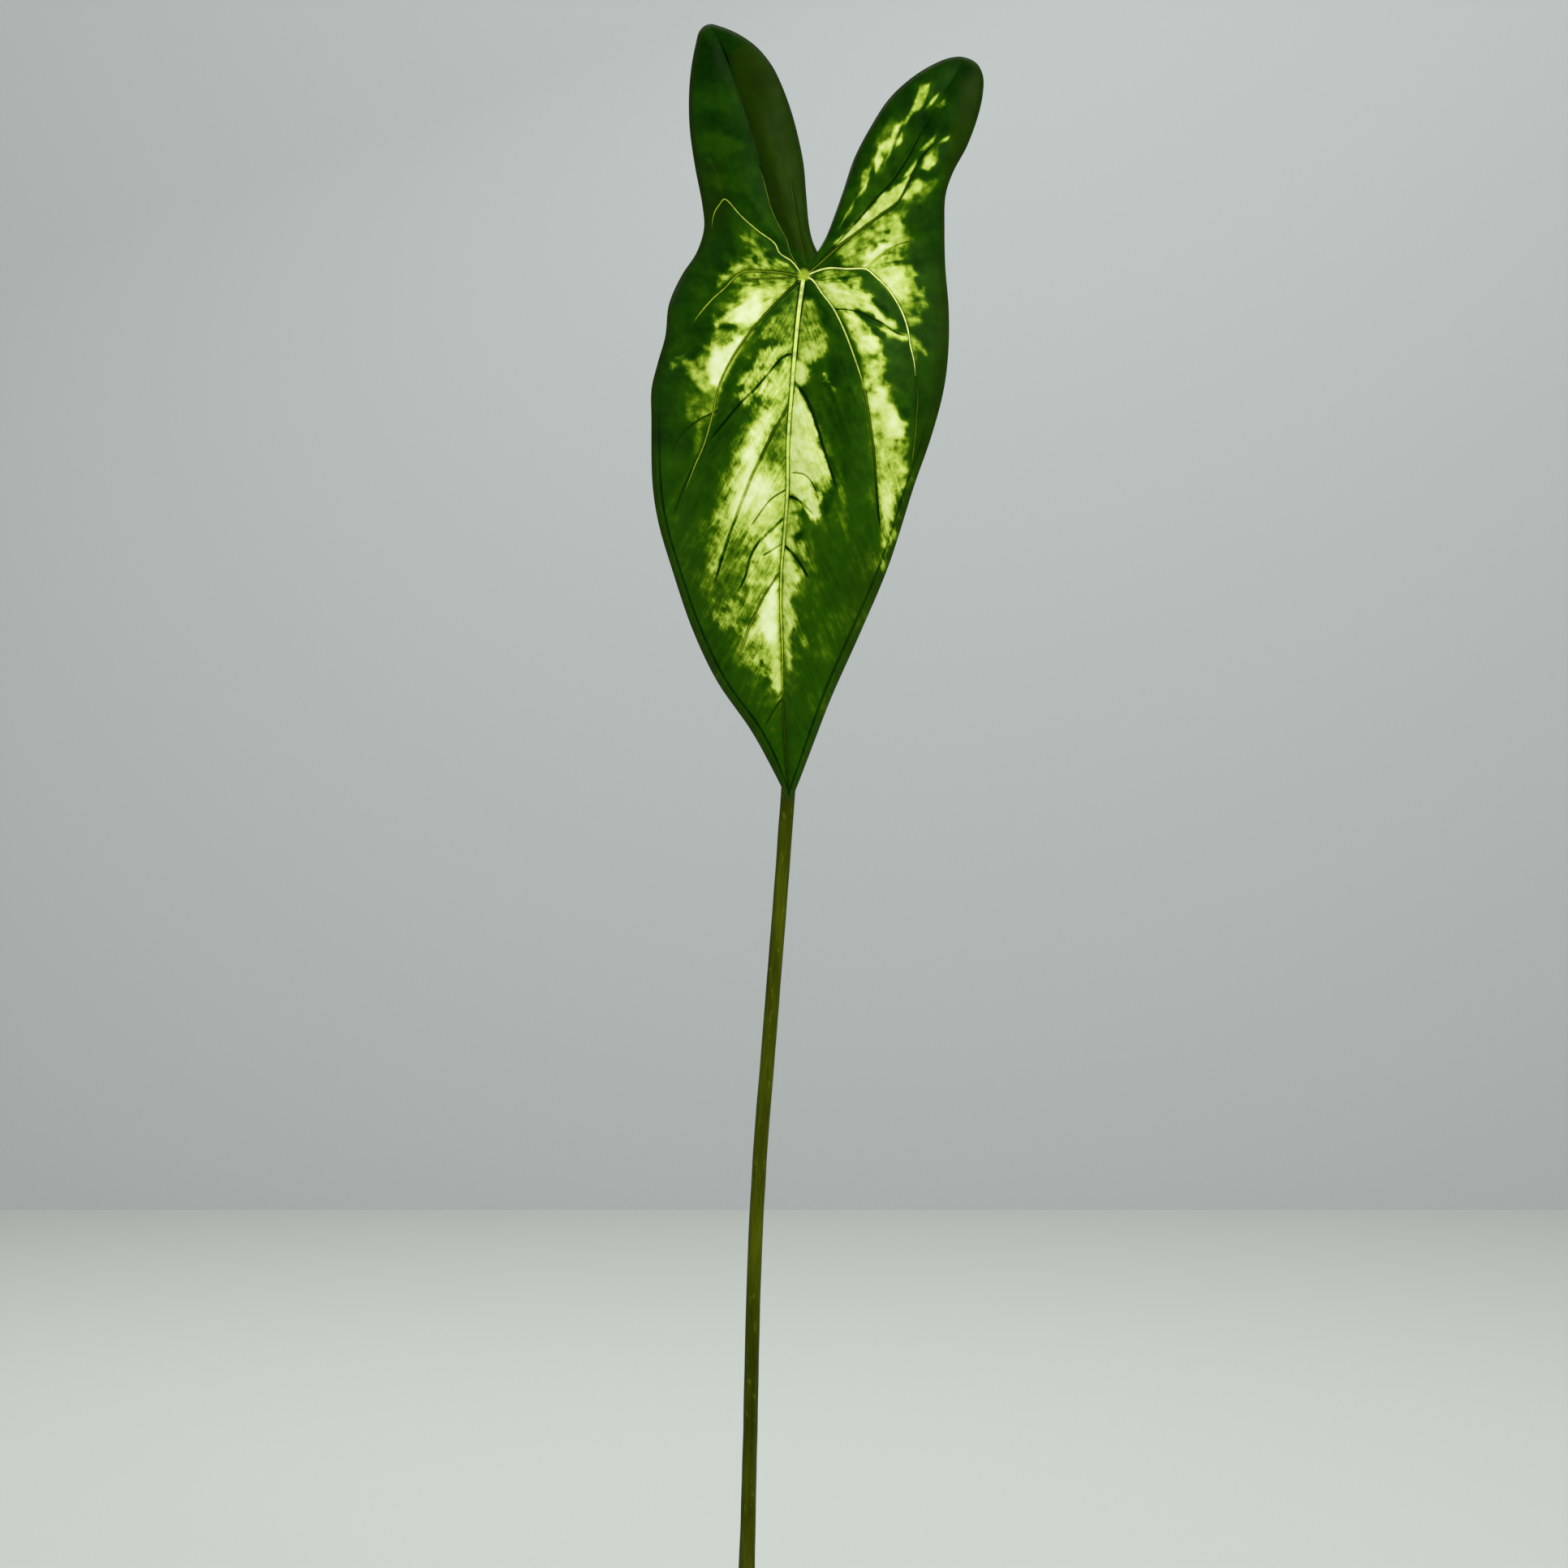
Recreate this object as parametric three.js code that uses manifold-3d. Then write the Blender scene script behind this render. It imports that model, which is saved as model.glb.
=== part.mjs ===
// A potted taro with one variegated leaf: a plain clay pot, its soil, the corm in it, one leaf stalk
// and one blade. Millimetres, +Z up, +X to the right, and the face of the blade looks along -Y.
// The origin is the middle of the pot's flat underside.

import * as THREE from "three";
import { mergeVertices } from "three/addons/utils/BufferGeometryUtils.js";
import Module from "manifold-3d";

const wasm = await Module();
wasm.setup();

// ---- Driving dimensions -------------------------------------------------------------------------

const GAP = 0.3; // clearance between pieces that touch

const POT_HEIGHT = 150;
const RIM_RADIUS = 85;
const BASE_RADIUS = 58;
const WALL = 6.5;
const FLOOR = 9;
const COLLAR_HEIGHT = 34;
const COLLAR_STEP = 4; // how far the collar stands out from the body
const POT_SIDES = 56;

const DRAIN_RADIUS = 5;
const DRAIN_RING = 26; // from the pot's axis to the middle of each drain hole
const DRAIN_COUNT = 4;

const SOIL_BELOW_RIM = 16;
const SOIL_CROWN = 3; // how much the soil is banked up around the corm
const SOIL_TOP = POT_HEIGHT - SOIL_BELOW_RIM;

const CORM_RADIUS = 17;
const CORM_HEIGHT = 46;
const CORM_SHOWS = 7; // how far the corm stands out of the soil

const STALK_SIDES = 12;
const STALK_STEPS = 44;
const STALK_BASE_RADIUS = 5.6;
const STALK_RADIUS = 3.1;
const STALK_NECK_RADIUS = 2.4;

const NAVEL = new THREE.Vector3(25.5, -6, 739); // where the stalk meets the back of the blade
const BLADE_LENGTH = 227; // from the navel down to the tip
const BLADE_THICKNESS = 1.2;
const MIDRIB_BULGE = 11; // how far the midrib bows forward half way down
const TIP_SETBACK = 7; // how far the tip hangs behind the navel
const LOBE_LEAN = 14; // how far the lobe tips lean back
const HALF_CROWN = 0.07; // forward swell of each half of the body, as a share of its width
const LOBE_CROWN = 0.03; // the same in the lobes, where it fades out towards their tips
const MARGIN_FALL = 0.1; // how far the margins fall back, as a share of the half's width

const LOBE_ROWS = 10;
const BODY_ROWS = 24;
const COLUMNS = [0, 0.24, 0.48, 0.72, 0.9, 1]; // from the skeleton to the margin

// ---- Helpers ------------------------------------------------------------------------------------

// A closed, merged geometry made of triangles listed as vectors.
function geometryOf(triangles) {
  const geometry = new THREE.BufferGeometry().setFromPoints(triangles.flat());
  return mergeVertices(geometry, 1e-4);
}

// A solid of revolution about the Z axis from a closed profile of [radius, height] pairs.
function turned(profile, sides) {
  const outline = profile.map(([r, z]) => new THREE.Vector2(r, z));
  const geometry = new THREE.LatheGeometry([...outline, outline[0]], sides);
  return geometry.rotateX(Math.PI / 2);
}

function toSolid(geometry) {
  const bare = geometry.clone();
  bare.deleteAttribute("normal");
  bare.deleteAttribute("uv");
  const merged = mergeVertices(bare, 1e-4);
  return new wasm.Manifold(
    new wasm.Mesh({
      numProp: 3,
      vertProperties: merged.attributes.position.array,
      triVerts: new Uint32Array(merged.index.array),
    }),
  );
}

function fromSolid(solid) {
  const { vertProperties, triVerts } = solid.getMesh();
  return new THREE.BufferGeometry()
    .setAttribute("position", new THREE.BufferAttribute(vertProperties, 3))
    .setIndex(new THREE.BufferAttribute(triVerts, 1));
}

function piece(name, geometry, color, roughness) {
  const material = new THREE.MeshStandardMaterial({ color, roughness, metalness: 0 });
  const mesh = new THREE.Mesh(geometry, material);
  mesh.name = name;
  return mesh;
}

// ---- Pot ----------------------------------------------------------------------------------------

// The inner wall's radius at a height above the pot's floor.
function innerRadius(z) {
  const share = (z - FLOOR) / (POT_HEIGHT - FLOOR);
  return THREE.MathUtils.lerp(BASE_RADIUS - WALL + 1, RIM_RADIUS - WALL - 1, share);
}

function pot() {
  const collarFoot = POT_HEIGHT - COLLAR_HEIGHT;
  const bodyTop = RIM_RADIUS - 2 * COLLAR_STEP;
  const profile = [
    [0, 0],
    [BASE_RADIUS - 1.5, 0],
    [BASE_RADIUS, 1.5],
    [bodyTop, collarFoot],
    [bodyTop + COLLAR_STEP, collarFoot + 1.5],
    [RIM_RADIUS, POT_HEIGHT - 5],
    [RIM_RADIUS - 1, POT_HEIGHT - 1.2],
    [RIM_RADIUS - 3, POT_HEIGHT],
    [RIM_RADIUS - WALL + 0.8, POT_HEIGHT - 0.6],
    [innerRadius(POT_HEIGHT - 5), POT_HEIGHT - 5],
    [innerRadius(FLOOR + 5), FLOOR + 5],
    [innerRadius(FLOOR) - 5, FLOOR],
    [0, FLOOR],
  ];
  let solid = toSolid(turned(profile, POT_SIDES));
  for (let i = 0; i < DRAIN_COUNT; i++) {
    const angle = ((i + 0.5) * 2 * Math.PI) / DRAIN_COUNT;
    const drill = new THREE.CylinderGeometry(DRAIN_RADIUS, DRAIN_RADIUS, 3 * FLOOR, 16)
      .rotateX(Math.PI / 2)
      .translate(DRAIN_RING * Math.cos(angle), DRAIN_RING * Math.sin(angle), 0);
    solid = solid.subtract(toSolid(drill));
  }
  return fromSolid(solid);
}

// ---- Corm and soil ------------------------------------------------------------------------------

// The corm's outline from its root end up to its crown, grown outwards by a margin.
function cormOutline(margin = 0) {
  const foot = SOIL_TOP + CORM_SHOWS - CORM_HEIGHT;
  const shape = [
    [0.35, 0],
    [0.8, 0.14],
    [1, 0.42],
    [0.92, 0.68],
    [0.66, 0.86],
    [0.46, 1],
  ];
  return shape.map(([r, z]) => [r * CORM_RADIUS + margin, foot + z * CORM_HEIGHT]);
}

function corm() {
  const outline = cormOutline();
  const foot = outline[0][1];
  const crown = outline[outline.length - 1][1];
  return turned([[0, foot], ...outline, [0, crown]], 20);
}

// The soil fills the pot and holds a hollow for the corm, open at the top.
function soil() {
  const floor = FLOOR + GAP;
  const hollow = cormOutline(GAP).reverse().filter(([, z]) => z < SOIL_TOP + SOIL_CROWN);
  const [lipRadius] = cormOutline(GAP)[3];
  const hollowFloor = hollow[hollow.length - 1][1] - GAP;
  const profile = [
    [0, floor],
    [innerRadius(FLOOR) - 5 - GAP, floor],
    [innerRadius(FLOOR + 5) - GAP, FLOOR + 5 + GAP],
    [innerRadius(SOIL_TOP - 2) - GAP, SOIL_TOP - 2],
    [innerRadius(SOIL_TOP) - 2, SOIL_TOP],
    [lipRadius + 16, SOIL_TOP + 0.5 * SOIL_CROWN],
    [lipRadius + 0.5, SOIL_TOP + SOIL_CROWN],
    ...hollow,
    [0, hollowFloor],
  ];
  return turned(profile, 40);
}

// ---- Leaf stalk ---------------------------------------------------------------------------------

// The stalk rises from the corm, leans a little to the right, runs behind the blade and turns forward
// into its back. Points are the distance below the navel, then x and y from the navel.
const STALK_ROUTE = [
  [NAVEL.z - SOIL_TOP - CORM_SHOWS - GAP, -25.5, 6],
  [571, -25, 6],
  [512, -23.5, 7],
  [430, -21.5, 8],
  [380, -19, 9],
  [337, -15.6, 10.5],
  [294, -12.2, 12],
  [250, -8.8, 14],
  [190, -4.8, 17.5],
  [120, -2, 20],
  [60, -0.8, 20],
  [28, -0.2, 17],
  [10, 0, 10.5],
  [2.2, 0, 3.4],
];

function stalkRadius(height) {
  const flare = Math.exp(-height / 22) * (STALK_BASE_RADIUS - STALK_RADIUS);
  const neck = THREE.MathUtils.smoothstep(height, 420, 590);
  const taper = THREE.MathUtils.lerp(STALK_RADIUS, STALK_NECK_RADIUS, neck);
  return taper + flare;
}

function stalk() {
  const route = new THREE.CatmullRomCurve3(
    STALK_ROUTE.map(([down, x, y]) => new THREE.Vector3(NAVEL.x + x, NAVEL.y + y, NAVEL.z - down)),
    false,
    "centripetal",
  );
  const frames = route.computeFrenetFrames(STALK_STEPS, false);
  const foot = route.getPointAt(0);
  const rings = [];
  for (let i = 0; i <= STALK_STEPS; i++) {
    const centre = route.getPointAt(i / STALK_STEPS);
    const radius = stalkRadius(centre.z - foot.z);
    const ring = [];
    for (let j = 0; j < STALK_SIDES; j++) {
      const angle = (j * 2 * Math.PI) / STALK_SIDES;
      ring.push(
        centre
          .clone()
          .addScaledVector(frames.normals[i], radius * Math.cos(angle))
          .addScaledVector(frames.binormals[i], radius * Math.sin(angle)),
      );
    }
    rings.push(ring);
  }
  return geometryOf(tubeTriangles(rings));
}

// A closed tube through rings of equal length, with a flat fan on each end.
function tubeTriangles(rings) {
  const triangles = [];
  const middle = (ring) =>
    ring.reduce((sum, p) => sum.add(p), new THREE.Vector3()).divideScalar(ring.length);
  const last = rings[rings.length - 1];
  const [start, end] = [middle(rings[0]), middle(last)];
  rings[0].forEach((_, j) => {
    const k = (j + 1) % rings[0].length;
    triangles.push([start, rings[0][k], rings[0][j]], [end, last[j], last[k]]);
    for (let i = 0; i + 1 < rings.length; i++) {
      const [a, b, c, d] = [rings[i][j], rings[i][k], rings[i + 1][k], rings[i + 1][j]];
      triangles.push([a, b, c], [a, c, d]);
    }
  });
  return triangles;
}

// ---- Blade --------------------------------------------------------------------------------------

// Points in the blade's own plane, from the navel: x to the right, z up. Each lobe and each side of
// the body is one stretch of the margin, and the skeleton is the midrib with a branch into each lobe.
const TIP = [-6, -BLADE_LENGTH];
const SINUS = [6, 13];
const LEFT_LOBE_TIP = [-41.5, 114.5];
const RIGHT_LOBE_TIP = [70, 99.3];

const LEFT_MARGIN = {
  shoulder: 10, // the point that lies level with the navel
  outer: [
    LEFT_LOBE_TIP,
    [-45.2, 111.6],
    [-47.2, 104.5],
    [-49.3, 92],
    [-50, 80],
    [-49.5, 66.5],
    [-47.3, 51],
    [-44, 33.5],
    [-43.3, 23.5],
    [-46.5, 13.5],
    [-53.5, 3],
    [-58.5, -9.5],
    [-60, -24],
    [-63.5, -36],
    [-66, -46.5],
    [-66, -60],
    [-65.5, -88],
    [-63, -104.5],
    [-57.2, -124.5],
    [-48, -151.5],
    [-37.5, -173.5],
    [-22.7, -195],
    [-12.8, -213],
    TIP,
  ],
  inner: [
    LEFT_LOBE_TIP,
    [-35.5, 113],
    [-28, 109.3],
    [-20, 103.3],
    [-13.8, 95.5],
    [-9.8, 87.5],
    [-5.8, 77],
    [-2.8, 66.5],
    [0, 52.5],
    [1.2, 38],
    [2.4, 24.5],
    [4, 17.5],
    SINUS,
  ],
};

const RIGHT_MARGIN = {
  shoulder: 9,
  outer: [
    RIGHT_LOBE_TIP,
    [75.6, 96.5],
    [78.3, 91],
    [78.3, 83.5],
    [76.2, 73.5],
    [71.3, 60],
    [65.2, 48.5],
    [61.9, 38.5],
    [61.4, 24],
    [61.8, 7],
    [63.2, -12],
    [62.9, -30],
    [60.8, -47],
    [55.3, -67.6],
    [47.9, -88.8],
    [36.6, -124],
    [24.6, -152.4],
    [12, -180.6],
    [3.8, -201.8],
    [-2, -217],
    TIP,
  ],
  inner: [
    RIGHT_LOBE_TIP,
    [63.5, 98.7],
    [55, 95],
    [46, 88.8],
    [37, 80],
    [29.2, 67.8],
    [22, 54],
    [17.5, 40.5],
    [13.5, 29],
    [9.5, 19],
    SINUS,
  ],
};

const MIDRIB = [
  [0, 0],
  [-1.8, -28],
  [-4.4, -57],
  [-7, -100],
  [-9, -135],
  [-9.5, -165],
  [-8.5, -200],
  [-6.5, -222],
];
const LEFT_LOBE_AXIS = [
  [-34, 101],
  [-29.5, 86],
  [-25, 73],
  [-20, 57],
  [-12, 30],
  [0, 0],
];
const RIGHT_LOBE_AXIS = [
  [64.5, 87],
  [52, 68],
  [36, 45],
  [18, 21],
  [0, 0],
];

const LEFT_LOBE_FOLD = 0.18; // slope of the left lobe's inner half behind the lobe's crease
const SHOULDER_WAVE = 3.2; // the left margin ripples where the lobe joins the body
const SHOULDER_LEVEL = -8;
const SHOULDER_REACH = 60;

// A smooth curve in the blade's plane.
function planeCurve(points) {
  return new THREE.CatmullRomCurve3(
    points.map(([x, z]) => new THREE.Vector3(x, 0, z)),
    false,
    "centripetal",
  );
}

// Points along an outer margin: the lobe's rows down to the shoulder, then the body's to the tip.
function outerMargin(margin) {
  const curve = planeCurve(margin.outer);
  const shoulder = margin.shoulder / (margin.outer.length - 1);
  const places = [];
  for (let i = 0; i <= LOBE_ROWS; i++) {
    places.push((shoulder * i) / LOBE_ROWS);
  }
  for (let i = 1; i <= BODY_ROWS; i++) {
    places.push(shoulder + ((1 - shoulder) * i) / BODY_ROWS);
  }
  return places.map((share) => curve.getPoint(share));
}

// How far back the skeleton lies, from the navel's depth: bowed forward below, leaning back above.
function skeletonDepth(z) {
  if (z > 0) return LOBE_LEAN * (z / 110) ** 2;
  const share = -z / BLADE_LENGTH;
  return TIP_SETBACK * share - MIDRIB_BULGE * Math.sin(Math.PI * share);
}

// How far the left margin ripples to and fro, over a stretch around the navel's level.
function shoulderWave(z) {
  const window = Math.max(0, 1 - ((z - SHOULDER_LEVEL) / SHOULDER_REACH) ** 2);
  return SHOULDER_WAVE * window ** 2 * Math.sin((z - SHOULDER_LEVEL) / 9);
}

// How steeply the left lobe's inner half turns back from the lobe's axis.
function lobeFold(z) {
  const { smoothstep } = THREE.MathUtils;
  return LEFT_LOBE_FOLD * smoothstep(z, 16, 55) * (1 - smoothstep(z, 60, 98));
}

// How strongly a half swells forward at a level of the skeleton.
function crown(z) {
  const { smoothstep } = THREE.MathUtils;
  const lobe = LOBE_CROWN * (1 - smoothstep(z, 60, 95));
  return THREE.MathUtils.lerp(HALF_CROWN, lobe, smoothstep(z, -25, 25));
}

const flat = () => 0;

// One strip of the blade between a stretch of the skeleton and a stretch of the margin, as rows of
// points from the skeleton outwards. The side is -1 where the margin lies to the left.
function strip(side, skeleton, margin, { fold = flat, wave = flat } = {}) {
  const rows = skeleton.map((inner, row) => {
    const outer = margin[row];
    const width = inner.distanceTo(outer);
    return COLUMNS.map((share) => {
      const point = inner.clone().lerp(outer, share);
      const swell = crown(inner.z) * width * Math.sin(Math.PI * share);
      const fall = MARGIN_FALL * width * share ** 2 + fold(point.z) * width * share;
      point.y = skeletonDepth(inner.z) - swell + fall + wave(point.z) * share ** 3;
      return point;
    });
  });
  return { side, rows };
}

function bladeStrips() {
  const sample = (points, count) => planeCurve(points).getSpacedPoints(count);
  const midrib = sample(MIDRIB, BODY_ROWS).slice(1);
  const leftAxis = sample(LEFT_LOBE_AXIS, LOBE_ROWS);
  const rightAxis = sample(RIGHT_LOBE_AXIS, LOBE_ROWS);
  const inner = (margin) => planeCurve(margin.inner).getPoints(LOBE_ROWS);
  return [
    strip(-1, [...leftAxis, ...midrib], outerMargin(LEFT_MARGIN), { wave: shoulderWave }),
    strip(1, [...rightAxis, ...midrib], outerMargin(RIGHT_MARGIN)),
    strip(1, leftAxis, inner(LEFT_MARGIN), { fold: lobeFold }),
    strip(-1, rightAxis, inner(RIGHT_MARGIN)),
  ];
}

// The blade's face looks along -Y. Each strip gives a front skin and a back skin, and the last two
// points of neighbouring rows give the piece of rim that joins them.
function blade() {
  const half = new THREE.Vector3(0, BLADE_THICKNESS / 2, 0);
  const front = (p) => p.clone().sub(half);
  const back = (p) => p.clone().add(half);
  const triangles = [];
  for (const { side, rows } of bladeStrips()) {
    const quad = (a, b, c, d) => {
      if (side > 0) triangles.push([a, b, c], [a, c, d]);
      else triangles.push([a, c, b], [a, d, c]);
    };
    for (let i = 0; i + 1 < rows.length; i++) {
      const [row, next] = [rows[i], rows[i + 1]];
      for (let j = 0; j + 1 < COLUMNS.length; j++) {
        const corners = [row[j], next[j], next[j + 1], row[j + 1]];
        quad(...corners.map(front));
        quad(...corners.map(back).reverse());
      }
      const [p, q] = [row[row.length - 1], next[next.length - 1]];
      quad(front(p), front(q), back(q), back(p));
    }
  }
  return geometryOf(triangles).translate(NAVEL.x, NAVEL.y, NAVEL.z);
}

// ---- The plant ----------------------------------------------------------------------------------

const plant = new THREE.Group();
plant.add(
  piece("pot", pot(), 0xb06a48, 0.85),
  piece("soil", soil(), 0x3a2a1e, 1),
  piece("corm", corm(), 0x6b4a30, 0.9),
  piece("leaf_stalk", stalk(), 0x384203, 0.45),
  piece("leaf_blade", blade(), 0x2c5a0c, 0.35),
);

export default plant;
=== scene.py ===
"""The looks of a potted taro with one variegated leaf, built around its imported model."""

import math
import random

import bmesh
import bpy
import numpy as np
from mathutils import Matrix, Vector, noise


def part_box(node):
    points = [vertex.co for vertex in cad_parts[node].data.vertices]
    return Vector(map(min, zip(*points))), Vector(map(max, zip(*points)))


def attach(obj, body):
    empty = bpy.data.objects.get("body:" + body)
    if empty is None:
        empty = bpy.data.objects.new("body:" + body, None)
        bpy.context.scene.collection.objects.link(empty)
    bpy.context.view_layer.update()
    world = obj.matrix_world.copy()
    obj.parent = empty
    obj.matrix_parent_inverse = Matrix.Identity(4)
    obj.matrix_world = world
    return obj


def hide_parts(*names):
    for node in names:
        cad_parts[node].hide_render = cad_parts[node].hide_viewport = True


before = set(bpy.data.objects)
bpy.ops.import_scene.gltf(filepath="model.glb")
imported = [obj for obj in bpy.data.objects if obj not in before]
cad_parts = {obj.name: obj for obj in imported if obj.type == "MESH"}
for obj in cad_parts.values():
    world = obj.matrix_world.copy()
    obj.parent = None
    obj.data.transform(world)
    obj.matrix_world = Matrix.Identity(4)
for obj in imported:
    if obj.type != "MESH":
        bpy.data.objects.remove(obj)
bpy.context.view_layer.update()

MM = 0.001
RANDOM = random.Random(7)


# ---- Camera, floor and light --------------------------------------------------------------------

VIEW_CENTRE = Vector((0.017, 0.0, 0.521))
VIEW_HEIGHT = 0.682  # of the frame, at the plant
VIEW_DISTANCE = 1.5
FLOOR_DEPTH = 2.72  # from the plant to the wall


def add_camera():
    data = bpy.data.cameras.new("camera")
    data.sensor_width = 36.0
    data.lens = data.sensor_width * VIEW_DISTANCE / VIEW_HEIGHT
    camera = bpy.data.objects.new("camera", data)
    camera.location = VIEW_CENTRE + Vector((0.0, -VIEW_DISTANCE, 0.0))
    camera.rotation_euler = (math.pi / 2, 0.0, 0.0)
    bpy.context.collection.objects.link(camera)
    bpy.context.scene.camera = camera


def add_light(name, place, size, watts, target, colour=(1.0, 1.0, 1.0)):
    data = bpy.data.lights.new(name, "AREA")
    data.shape = "RECTANGLE"
    data.size, data.size_y = size
    data.energy = watts
    data.color = colour
    light = bpy.data.objects.new(name, data)
    light.location = place
    light.rotation_euler = (Vector(target) - Vector(place)).to_track_quat("-Z", "Y").to_euler()
    light.visible_camera = False
    bpy.context.collection.objects.link(light)


def add_stage():
    floor = panel_object("floor", (-5.0, 5.0), (-5.0, FLOOR_DEPTH), lambda x, y: (x, y, 0.0))
    floor.data.materials.append(stage_material("pale_table", srgb(194, 199, 193), 0.6))
    wall = panel_object("wall", (-5.0, 5.0), (0.0, 5.0), lambda x, z: (x, FLOOR_DEPTH, z))
    wall.data.materials.append(stage_material("grey_cloth", srgb(184, 188, 188), 0.95))
    target = VIEW_CENTRE
    add_light("key", (1.3, -1.5, 1.9), (1.4, 1.4), 44.0, target)
    add_light("fill", (-1.9, -1.2, 1.0), (1.8, 1.8), 14.0, target)
    add_light("back", (-0.6, 1.9, 2.2), (1.6, 1.0), 20.0, target)
    add_light("wall_wash", (0.4, 0.9, 2.6), (2.4, 1.2), 31.0, (0.0, FLOOR_DEPTH, 0.6))
    world = bpy.data.worlds.new("studio")
    world.use_nodes = True
    background = world.node_tree.nodes["Background"]
    background.inputs["Color"].default_value = (0.8, 0.82, 0.8, 1.0)
    background.inputs["Strength"].default_value = 0.42
    bpy.context.scene.world = world
    bpy.context.scene.view_settings.view_transform = "Standard"


def panel_object(name, span_u, span_v, place):
    """A flat four-cornered panel, with place giving the point at each (u, v)."""
    corners = [(u, v) for v in span_v for u in span_u]
    mesh = bpy.data.meshes.new(name)
    mesh.from_pydata([place(u, v) for u, v in corners], [], [(0, 1, 3, 2)])
    obj = bpy.data.objects.new(name, mesh)
    bpy.context.collection.objects.link(obj)
    return obj


# ---- Material graphs ----------------------------------------------------------------------------


def srgb(r, g, b):
    """A display colour out of 255 as a linear colour."""
    linear = [((c / 255 + 0.055) / 1.055) ** 2.4 if c > 10 else c / 255 / 12.92 for c in (r, g, b)]
    return (*linear, 1.0)


MIX_SOCKETS = ("Factor_Float", "A_Color", "B_Color")


class Graph:
    """A material with a Principled surface, and short ways to add and link its nodes."""

    def __init__(self, name):
        self.material = bpy.data.materials.new(name)
        self.material.use_nodes = True
        self.tree = self.material.node_tree
        self.surface = self.tree.nodes["Principled BSDF"]

    def node(self, kind, inputs=(), **settings):
        node = self.tree.nodes.new(kind)
        for key, value in settings.items():
            setattr(node, key, value)
        for key, value in dict(inputs).items():
            self.put(node.inputs[key], value)
        return node

    def put(self, socket, value):
        if isinstance(value, bpy.types.NodeSocket):
            self.tree.links.new(value, socket)
        else:
            socket.default_value = value

    def set(self, **inputs):
        for key, value in inputs.items():
            self.put(self.surface.inputs[key.replace("_", " ")], value)

    def math(self, operation, *values, clamp=False):
        node = self.node("ShaderNodeMath", operation=operation, use_clamp=clamp)
        for socket, value in zip(node.inputs, values):
            self.put(socket, value)
        return node.outputs[0]

    def times(self, first, second):
        return self.math("MULTIPLY", first, second)

    def gap(self, first, second):
        return self.math("ABSOLUTE", self.math("SUBTRACT", first, second))

    def span(self, value, low, high, to_low=0.0, to_high=1.0):
        """The value eased from one range to another."""
        inputs = {"Value": value, "From Min": low, "From Max": high, "To Min": to_low, "To Max": to_high}
        return self.node("ShaderNodeMapRange", inputs, interpolation_type="SMOOTHSTEP").outputs[0]

    def ramp(self, value, stops):
        node = self.node("ShaderNodeValToRGB", {"Fac": value})
        elements = node.color_ramp.elements
        while len(elements) < len(stops):
            elements.new(0.5)
        for element, (place, colour) in zip(elements, stops):
            element.position = place
            element.color = colour
        return node.outputs["Color"]

    def mix(self, share, first, second, blend="MIX"):
        node = self.node("ShaderNodeMix", data_type="RGBA", blend_type=blend)
        factor, a, b = (next(i for i in node.inputs if i.identifier == name) for name in MIX_SOCKETS)
        for socket, value in ((factor, share), (a, first), (b, second)):
            self.put(socket, value)
        return next(o for o in node.outputs if o.identifier == "Result_Color")

    def attribute(self, name, output="Fac"):
        return self.node("ShaderNodeAttribute", attribute_name=name).outputs[output]

    def scaled(self, vector, scale):
        return self.node("ShaderNodeMapping", {"Vector": vector, "Scale": scale}).outputs[0]

    def place(self, scale=(1.0, 1.0, 1.0)):
        """Object coordinates in metres, stretched."""
        return self.scaled(self.node("ShaderNodeTexCoord").outputs["Object"], scale)

    def parts(self, vector):
        return self.node("ShaderNodeSeparateXYZ", {"Vector": vector}).outputs

    def distance(self, vector, point):
        node = self.node("ShaderNodeVectorMath", {0: vector, 1: point}, operation="DISTANCE")
        return node.outputs["Value"]

    def noise(self, where, scale, detail=3.0, roughness=0.5):
        inputs = {"Vector": where, "Scale": scale, "Detail": detail, "Roughness": roughness}
        return self.node("ShaderNodeTexNoise", inputs).outputs["Fac"]

    def cells(self, where, scale, feature="F1"):
        inputs = {"Vector": where, "Scale": scale}
        return self.node("ShaderNodeTexVoronoi", inputs, feature=feature).outputs["Distance"]

    def bump(self, height, distance, strength):
        inputs = {"Height": height, "Distance": distance, "Strength": strength}
        return self.node("ShaderNodeBump", inputs).outputs["Normal"]


def stage_material(name, colour, roughness):
    g = Graph(name)
    g.set(Base_Color=colour, Roughness=roughness)
    return g.material


# ---- Curves and mesh helpers --------------------------------------------------------------------

SPAN_STEPS = 16


def smoothstep(value, low, high):
    share = np.clip((value - low) / (high - low), 0.0, 1.0)
    return share * share * (3.0 - 2.0 * share)


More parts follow.
